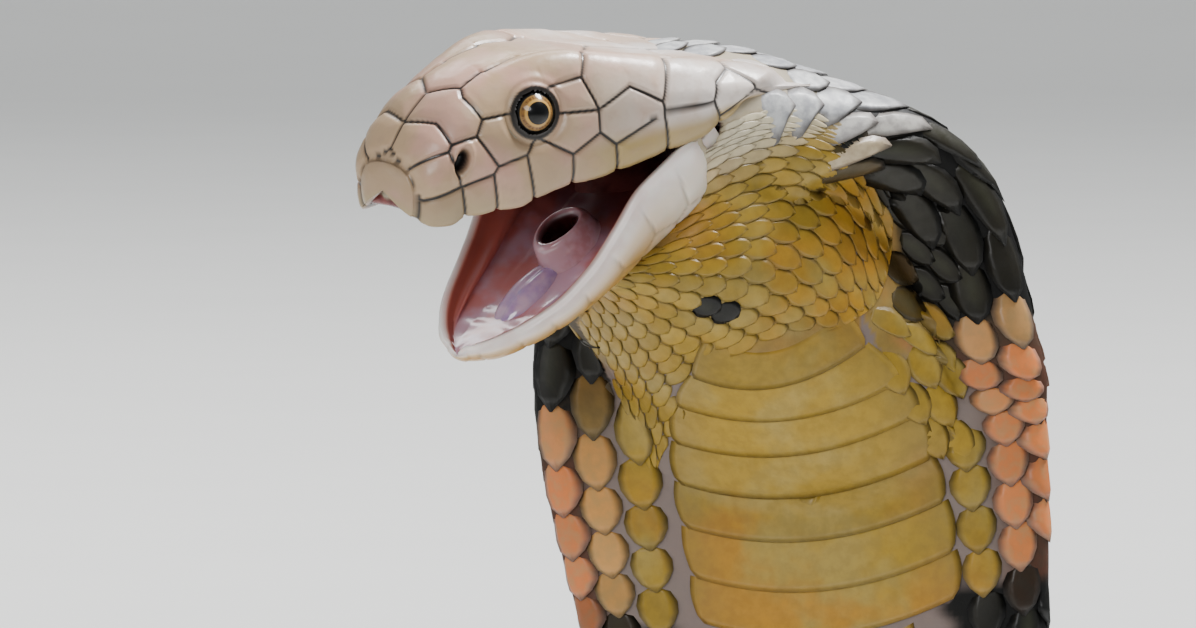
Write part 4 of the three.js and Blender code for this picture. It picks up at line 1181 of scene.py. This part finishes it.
def makeGlottis():
    look = glottisLook
    turns = ringTurns(64)
    rings = []
    profile = catmull([(s, h, 0) for s, h in look["profile"]], np.linspace(0, 1, 34))
    for scale, height, _ in profile:
        wave = 1 + 0.035 * np.sin(turns * 3 + 1) * (height > -2)
        rings.append(jawPoint(look["ahead"] + look["length"] * scale * wave * np.cos(turns),
                              look["width"] * scale * wave * np.sin(turns), height + 0.35 * np.cos(turns)))
    # depth, 0 at the rim to 1 at the bottom, sets the painted shade inside the windpipe
    depth = np.linspace(0, 1, len(rings))[:, None] * np.ones((1, len(turns)))
    return addTube("glottis", np.array(rings), {"depth": depth})


def makeSheath():
    look = sheathLook
    places, turns = np.meshgrid(np.linspace(36, 56.5, 30), ringTurns(40), indexing="ij")
    r = along(look["rings"], places)
    slit = look["slit"] * np.exp(-(np.cos(turns) * r / 0.7) ** 2) * (np.sin(turns) > 0) * (r > 1.5)
    return addTube("tongueSheath", jawPoint(places, r * np.cos(turns), look["floor"] + look["flat"] * r * np.sin(turns) - slit))


eyeLeft, eyeRight = makeEye("eyeLeft", 1), makeEye("eyeRight", -1)
glottis, sheath = makeGlottis(), makeSheath()
print("eyes and mouth made")


class Nodes:  # a short hand for wiring nodes
    def __init__(self, tree):
        self.tree = tree

    def add(self, kind, inputs=None, **settings):
        node = self.tree.nodes.new(kind)
        for key, value in settings.items():
            setattr(node, key, value)
        for key, value in (inputs or {}).items():
            self.feed(value, node.inputs[key])
        return node

    def feed(self, value, socket):
        if isinstance(value, bpy.types.NodeSocket):
            self.tree.links.new(value, socket)
        elif socket.type == "RGBA" and len(value) == 3:
            socket.default_value = (*value, 1)
        else:
            socket.default_value = value

    def mark(self, name):
        return self.add("ShaderNodeAttribute", attribute_name=name).outputs["Fac"]

    def mix(self, factor, a, b, blend="MIX"):
        node = self.add("ShaderNodeMix", data_type="RGBA", blend_type=blend)
        self.feed(factor, node.inputs[0])
        self.feed(a, node.inputs[6])
        self.feed(b, node.inputs[7])
        return node.outputs[2]

    def layers(self, colour, *over):  # each colour is laid over the ones before, where its mask is 1
        for mask, tone in over:
            colour = self.mix(mask, colour, tone)
        return colour

    def math(self, operation, a, b):
        node = self.add("ShaderNodeMath", operation=operation)
        self.feed(a, node.inputs[0])
        self.feed(b, node.inputs[1])
        return node.outputs[0]

    def times(self, a, b):
        return self.math("MULTIPLY", a, b)

    def ease(self, value, low, high, start=0.0, end=1.0):
        node = self.add("ShaderNodeMapRange", interpolation_type="SMOOTHSTEP")
        for key, item in zip(("Value", "From Min", "From Max", "To Min", "To Max"), (value, low, high, start, end)):
            self.feed(item, node.inputs[key])
        return node.outputs[0]

    def noise(self, scale, detail=3.0):
        where = self.add("ShaderNodeTexCoord").outputs["Object"]
        inputs = {"Vector": where, "Scale": scale, "Detail": detail, "Roughness": 0.55}
        return self.add("ShaderNodeTexNoise", inputs).outputs["Fac"]


toneMarks = ("dark", "ochre", "salmon", "grey", "belly", "chance")


def hideTones():  # the animal's colours from its markings, for scales and skin alike
    group = bpy.data.node_groups.new("hideTones", "ShaderNodeTree")
    for name in toneMarks:
        group.interface.new_socket(name, in_out="INPUT", socket_type="NodeSocketFloat")
    for name, kind in (("Color", "NodeSocketColor"), ("Grain", "NodeSocketFloat")):
        group.interface.new_socket(name, in_out="OUTPUT", socket_type=kind)
    n = Nodes(group)
    given = n.add("NodeGroupInput").outputs
    broad, fine = n.noise(28.0, 3.0), n.noise(420.0, 4.0)
    pale = n.mix(n.ease(broad, 0.35, 0.65), (0.52, 0.38, 0.17), (0.42, 0.27, 0.09))
    ochre = n.mix(n.ease(broad, 0.45, 0.66), (0.30, 0.19, 0.018), (0.36, 0.178, 0.016))
    ochre = n.mix(n.ease(n.noise(75.0), 0.45, 0.7), ochre, (0.31, 0.22, 0.05))
    salmon = n.mix(n.ease(fine, 0.4, 0.7), (0.56, 0.17, 0.05), (0.54, 0.24, 0.095))
    grey = n.mix(n.ease(fine, 0.35, 0.65), (0.50, 0.51, 0.52), (0.36, 0.37, 0.40))
    dark = n.mix(n.ease(broad, 0.4, 0.7), (0.006, 0.006, 0.005), (0.015, 0.013, 0.008))
    colour = n.layers(pale, (given["ochre"], ochre), (given["salmon"], salmon), (given["grey"], grey),
                      (given["belly"], (0.66, 0.60, 0.44)), (given["dark"], dark))
    colour = n.mix(1.0, colour, n.mix(given["chance"], (0.84, 0.84, 0.84), (1.14, 1.12, 1.08)), "MULTIPLY")
    colour = n.mix(n.ease(fine, 0.3, 0.7, 0.0, 0.22), colour, (0.12, 0.10, 0.07), "MULTIPLY")
    out = n.add("NodeGroupOutput")
    n.feed(colour, out.inputs["Color"])
    n.feed(fine, out.inputs["Grain"])
    return group


tones = hideTones()


def newMaterial(name, roughness, coat=0.0, coatRoughness=0.1, subsurface=0.0, specular=0.5):
    material = bpy.data.materials.new(name)
    material.use_nodes = True
    shader = material.node_tree.nodes["Principled BSDF"]
    settings = {"Roughness": roughness, "Coat Weight": coat, "Coat Roughness": coatRoughness,
                "Specular IOR Level": specular}
    if subsurface:
        settings.update({"Subsurface Weight": subsurface, "Subsurface Scale": 0.002})
    for key, value in settings.items():
        shader.inputs[key].default_value = value
    return material, Nodes(material.node_tree), shader


def finished(n, shader, colour, roughness=None, bump=None):  # bump is its height, strength and distance
    n.feed(colour, shader.inputs["Base Color"])
    if roughness:
        n.feed(roughness, shader.inputs["Roughness"])
    if bump:
        node = n.add("ShaderNodeBump", dict(zip(("Height", "Strength", "Distance"), bump)))
        n.feed(node.outputs["Normal"], shader.inputs["Normal"])


def coloured(n):
    group = n.add("ShaderNodeGroup", node_tree=tones)
    for name in toneMarks:
        n.feed(n.mark(name), group.inputs[name])
    return group.outputs["Color"], group.outputs["Grain"]


def scaleMaterial():
    material, n, shader = newMaterial("scales", 0.42, 0.08, 0.25, specular=0.22)
    colour, grain = coloured(n)
    dark = n.mark("dark")
    dull = n.mix(dark, n.mix(n.mark("ochre"), (0.13, 0.11, 0.10), (0.15, 0.11, 0.04)), (0.004, 0.004, 0.004))
    middle = n.times(dark, n.times(n.ease(n.mark("rim"), 0.62, 0.1), n.ease(n.mark("chance"), 0.2, 1.0)))
    rim = n.times(n.ease(n.mark("rim"), 0.55, 1.0), n.ease(n.mark("soft"), 0.0, 1.0, 0.75, 0.42))
    colour = n.layers(colour, (n.times(middle, 0.35), (0.05, 0.052, 0.03)), (rim, dull))
    finished(n, shader, colour, n.ease(grain, 0.3, 0.7, 0.32, 0.5), (grain, 0.25, 0.0004))
    return material


def skinMaterial():
    material, n, shader = newMaterial("skinBetween", 0.6, specular=0.15)
    colour, grain = coloured(n)
    between = n.layers((0.012, 0.012, 0.013), (n.mark("ochre"), (0.16, 0.13, 0.13)),
                       (n.mark("dark"), (0.004, 0.004, 0.004)))
    colour = n.mix(n.math("ADD", n.times(n.mark("throat"), 0.7), 0.12), between, colour)
    inside = n.mix(n.ease(n.noise(160.0), 0.4, 0.65), (0.20, 0.05, 0.045), (0.10, 0.02, 0.02))
    # near black towards the back of the mouth: painted shade
    inside = n.mix(n.mark("deep"), inside, (0.006, 0.002, 0.002))
    colour = n.layers(colour, (n.times(n.mark("pale"), 0.85), (0.42, 0.36, 0.26)), (n.mark("inside"), inside))
    finished(n, shader, colour, n.ease(n.mark("inside"), 0.0, 1.0, 0.6, 0.22), (grain, 0.3, 0.0006))
    return material


def headMaterial():
    material, n, shader = newMaterial("headShields", 0.4, 0.12, 0.2, specular=0.35)
    fine, broad = n.noise(500.0, 4.0), n.noise(60.0, 3.0)
    back, share = n.mark("back"), n.mark("share")
    tan = n.mix(n.ease(broad, 0.42, 0.62), (0.36, 0.25, 0.15), (0.42, 0.25, 0.19))
    pale = n.mix(n.ease(broad, 0.4, 0.65), (0.62, 0.56, 0.52), (0.50, 0.36, 0.27))
    cheek = n.times(n.times(n.ease(share, 0.6, 0.74), n.ease(back, 28.0, 44.0)), 0.85)
    muzzle = n.times(n.ease(share, 0.62, 0.9), n.ease(back, 34.0, 8.0))
    # The shields turn paler towards the rear of the head: partly their own paler tone, partly a painted highlight for
    # the glare on the rear of the crown.
    colour = n.layers(tan, (n.ease(back, 26.0, 62.0), pale), (cheek, (0.34, 0.23, 0.055)),
                      (muzzle, (0.36, 0.27, 0.15)))
    colour = n.mix(1.0, colour, n.mix(n.mark("own"), (0.86, 0.86, 0.86), (1.12, 1.1, 1.08)), "MULTIPLY")
    colour = n.layers(colour, (n.ease(fine, 0.45, 0.8, 0.0, 0.3), (0.30, 0.20, 0.14)),
                      # the seams' near black also covers the fold under the lip, as painted shade
                      (n.mark("under"), (0.42, 0.24, 0.19)), (n.mark("seam"), (0.012, 0.010, 0.009)),
                      # painted shade in the nostrils, near black
                      # the ring round the eye: dark skin with painted socket shadow
                      (n.mark("lid"), (0.012, 0.009, 0.007)), (n.mark("nostrilShade"), (0.003, 0.002, 0.002)))
    finished(n, shader, colour, n.ease(fine, 0.3, 0.7, 0.28, 0.44), (fine, 0.2, 0.0004))
    return material


def jawMaterial():
    material, n, shader = newMaterial("jawAndGums", 0.3, 0.4, 0.12, subsurface=0.15)
    broad, ahead, share = n.noise(90.0, 3.0), n.mark("ahead"), n.mark("share")
    outer = n.mix(n.ease(share, 0.66, 0.98), (0.40, 0.22, 0.05), (0.66, 0.50, 0.34))
    outer = n.layers(outer, (n.ease(ahead, 34.0, 14.0), (0.68, 0.60, 0.50)),
                     (n.times(n.mark("seam"), 0.45), (0.16, 0.11, 0.07)))
    lip = n.mix(n.ease(broad, 0.4, 0.6), (0.74, 0.68, 0.64), (0.66, 0.56, 0.52))
    floor = n.mix(n.ease(broad, 0.4, 0.6), (0.42, 0.24, 0.30), (0.44, 0.13, 0.12))
    # the floor goes near black towards the jaw's hinge: painted shade at the back of the mouth
    floor = n.layers(floor, (n.ease(n.mark("gum"), 0.3, 0.9), (0.52, 0.15, 0.13)),
                     (n.ease(share, 1.75, 1.45), (0.33, 0.075, 0.055)), (n.ease(ahead, 40.0, 16.0), (0.06, 0.010, 0.010)))
    inside = n.mark("inside")
    colour = n.layers(outer, (n.mark("lipBand"), lip), (inside, floor))
    finished(n, shader, colour, n.ease(inside, 0.0, 1.0, 0.4, 0.24), (broad, 0.3, 0.0008))
    return material


def fleshMaterial(name, outer, inner, hole):
    material, n, shader = newMaterial(name, 0.16, 0.7, 0.06, subsurface=0.2)
    broad = n.noise(180.0, 3.0)
    colour = n.mix(n.ease(broad, 0.4, 0.62), outer, inner)
    # the windpipe's opening goes near black further in: painted shade
    if hole:
        colour = n.mix(n.ease(n.mark("depth"), 0.52, 0.8), colour, (0.05, 0.008, 0.008))
    finished(n, shader, colour, n.ease(broad, 0.3, 0.7, 0.1, 0.24), (broad, 0.3, 0.0006))
    return material


irisRings = [  # degrees from the gaze, and the colour beyond; the near black beyond the last ring stands for the dark rim of the eye with painted socket shadow
    ((30.0, 35.5), None), ((39.0, 42.0), (0.20, 0.11, 0.03)), ((43.0, 45.5), (0.003, 0.003, 0.003))]


def eyeMaterial():
    material, n, shader = newMaterial("eyes", 0.3, 1.0, 0.02, specular=0.1)
    shader.inputs["Coat IOR"].default_value = 1.32
    gaze = n.mark("gaze")
    around = [n.times(n.mark(name), 9.0) for name in ("aroundCos", "aroundSin")]
    where = n.add("ShaderNodeCombineXYZ", dict(zip("XYZ", (*around, n.times(gaze, 0.06)))))
    streak = n.add("ShaderNodeTexNoise", {"Vector": where.outputs[0], "Scale": 1.0, "Detail": 3.0})
    iris = n.mix(n.ease(streak.outputs["Fac"], 0.35, 0.65), (0.09, 0.040, 0.010), (0.22, 0.11, 0.03))
    colour = n.mix(n.ease(gaze, 25.0, 26.6), (0.001, 0.001, 0.001), (0.44, 0.25, 0.06))
    finished(n, shader, n.layers(colour, *((n.ease(gaze, *reach), tone or iris) for reach, tone in irisRings)))
    return material


def plainMaterial(name, shade, roughness):
    material, n, shader = newMaterial(name, roughness)
    finished(n, shader, n.mix(n.ease(n.noise(3.0), 0.3, 0.7, 0.0, 0.05), shade, (0.6, 0.6, 0.6)))
    return material


def lidMark():  # how near each point of the head plates is to the rim of the eye, for the dark ring painted there: dark skin with painted socket shadow
    points = coordinates(headPiece.data)
    values = np.zeros(len(points))
    for side in (1, -1):
        middle, gaze = eyeAt(side)
        d = points - middle
        depth = d @ gaze
        r = np.linalg.norm(d - depth[:, None] * gaze, axis=1)
        values = np.maximum(values, (1 - ease(5.2, 5.6, r)) * (depth > 0))
    putMarks(headPiece.data, {"lid": values})


lidMark()
finishes = {"scales": scaleMaterial(), "skin": skinMaterial(), "head": headMaterial(), "jaw": jawMaterial(),
            "eye": eyeMaterial(),
            "glottis": fleshMaterial("windpipe", (0.50, 0.30, 0.34), (0.42, 0.20, 0.22), True),
            "sheath": fleshMaterial("tongueSheath", (0.34, 0.22, 0.40), (0.50, 0.34, 0.44), False)}


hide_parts("head", "lower_jaw", "neck", "hood_upper", "hood_lower")
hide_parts("trunk_upper", "trunk_middle", "trunk_base", "coil_1", "coil_2", "coil_3", "coil_4", "coil_5",
            "coil_6", "tail_base", "tail_tip")
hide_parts("eye_left")
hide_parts("eye_right")
slots = [(skin, "skin", "throat_and_hood_skin"), (bodySkin, "skin", "body_skin"),
         (eyeLeft, "eye", "eye"), (eyeRight, "eye", "eye"), (headPiece, "head", "head_skin"),
         (jawPiece, "jaw", "mouth_and_jaw"), (glottis, "glottis", "mouth_and_jaw"), (sheath, "sheath", "mouth_and_jaw")]
for coat in coats:
    slots.append((coat, "scales", "throat_and_hood_skin" if coat.name in ("scalesHood", "scalesThroat") else "body_skin"))
for piece, finish, slot in slots:
    piece.data.materials.clear()
    piece.data.materials.append(finishes[finish])
    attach(piece, "root")


studio = {
    "lights": [  # name, place, size and watts
        ("key", (0.9, 0.2, 2.2), 0.6, 90), ("front", (-0.6, -2.0, 1.5), 1.0, 26), ("left", (-1.8, -0.6, 0.9), 1.2, 6),
        ("behind", (0, 7, 8), 9, 1600)],
    "sky": 0.33,
    "skyColour": (0.9, 0.95, 1.0, 1),
    "floor": {"from": -24, "flat": 20.0, "bend": 6.0, "to": 38, "rows": 60, "half": 26},
}


def makeStage():
    look = studio["floor"]
    run, flat, bend = np.linspace(look["from"], look["to"], look["rows"]), look["flat"], look["bend"]
    turn = np.clip((run - flat) / bend, 0, math.pi / 2)
    forward = np.minimum(run, flat) + bend * np.sin(turn)
    rise = bend * (1 - np.cos(turn)) + np.maximum(run - flat - bend * math.pi / 2, 0)
    bm = bmesh.new()
    bmesh.ops.create_grid(bm, x_segments=8, y_segments=look["rows"] - 1, size=1)
    for v in bm.verts:
        k = int(round((v.co.y + 1) / 2 * (look["rows"] - 1)))
        v.co = (v.co.x * look["half"], float(forward[k]), float(rise[k]) - 0.0004)
    mesh = meshFrom(bm, "floorAndBackdrop")
    mesh.materials.append(plainMaterial("paleFloor", (0.86, 0.86, 0.84), 0.7))
    addObject(mesh)


def placed(name, data, place, target):  # a light or the camera, turned to its target
    thing = bpy.data.objects.new(name, data)
    thing.location = place
    thing.rotation_euler = (Vector(target) - thing.location).to_track_quat("-Z", "Y").to_euler()
    bpy.context.scene.collection.objects.link(thing)
    return thing


def makeStudio():
    target = Vector(toScene(view["target"]))
    for name, place, size, watts in studio["lights"]:
        light = bpy.data.lights.new(name, "AREA")
        light.shape, light.size, light.energy = "DISK", size, watts
        placed(name, light, place, (0, 12, 0) if name == "behind" else target)
    world = bpy.data.worlds.new("studio")
    world.use_nodes = True
    sky = world.node_tree.nodes["Background"].inputs
    sky["Color"].default_value, sky["Strength"].default_value = studio["skyColour"], studio["sky"]
    bpy.context.scene.world = world
    lens = bpy.data.cameras.new("camera")
    lens.lens, lens.sensor_width, lens.clip_end = view["lens"], view["film"], 30
    place = target - Vector(viewLook) * view["distance"] * 0.001
    bpy.context.scene.camera = placed("camera", lens, place, target)


makeStage()
makeStudio()
print("studio set")
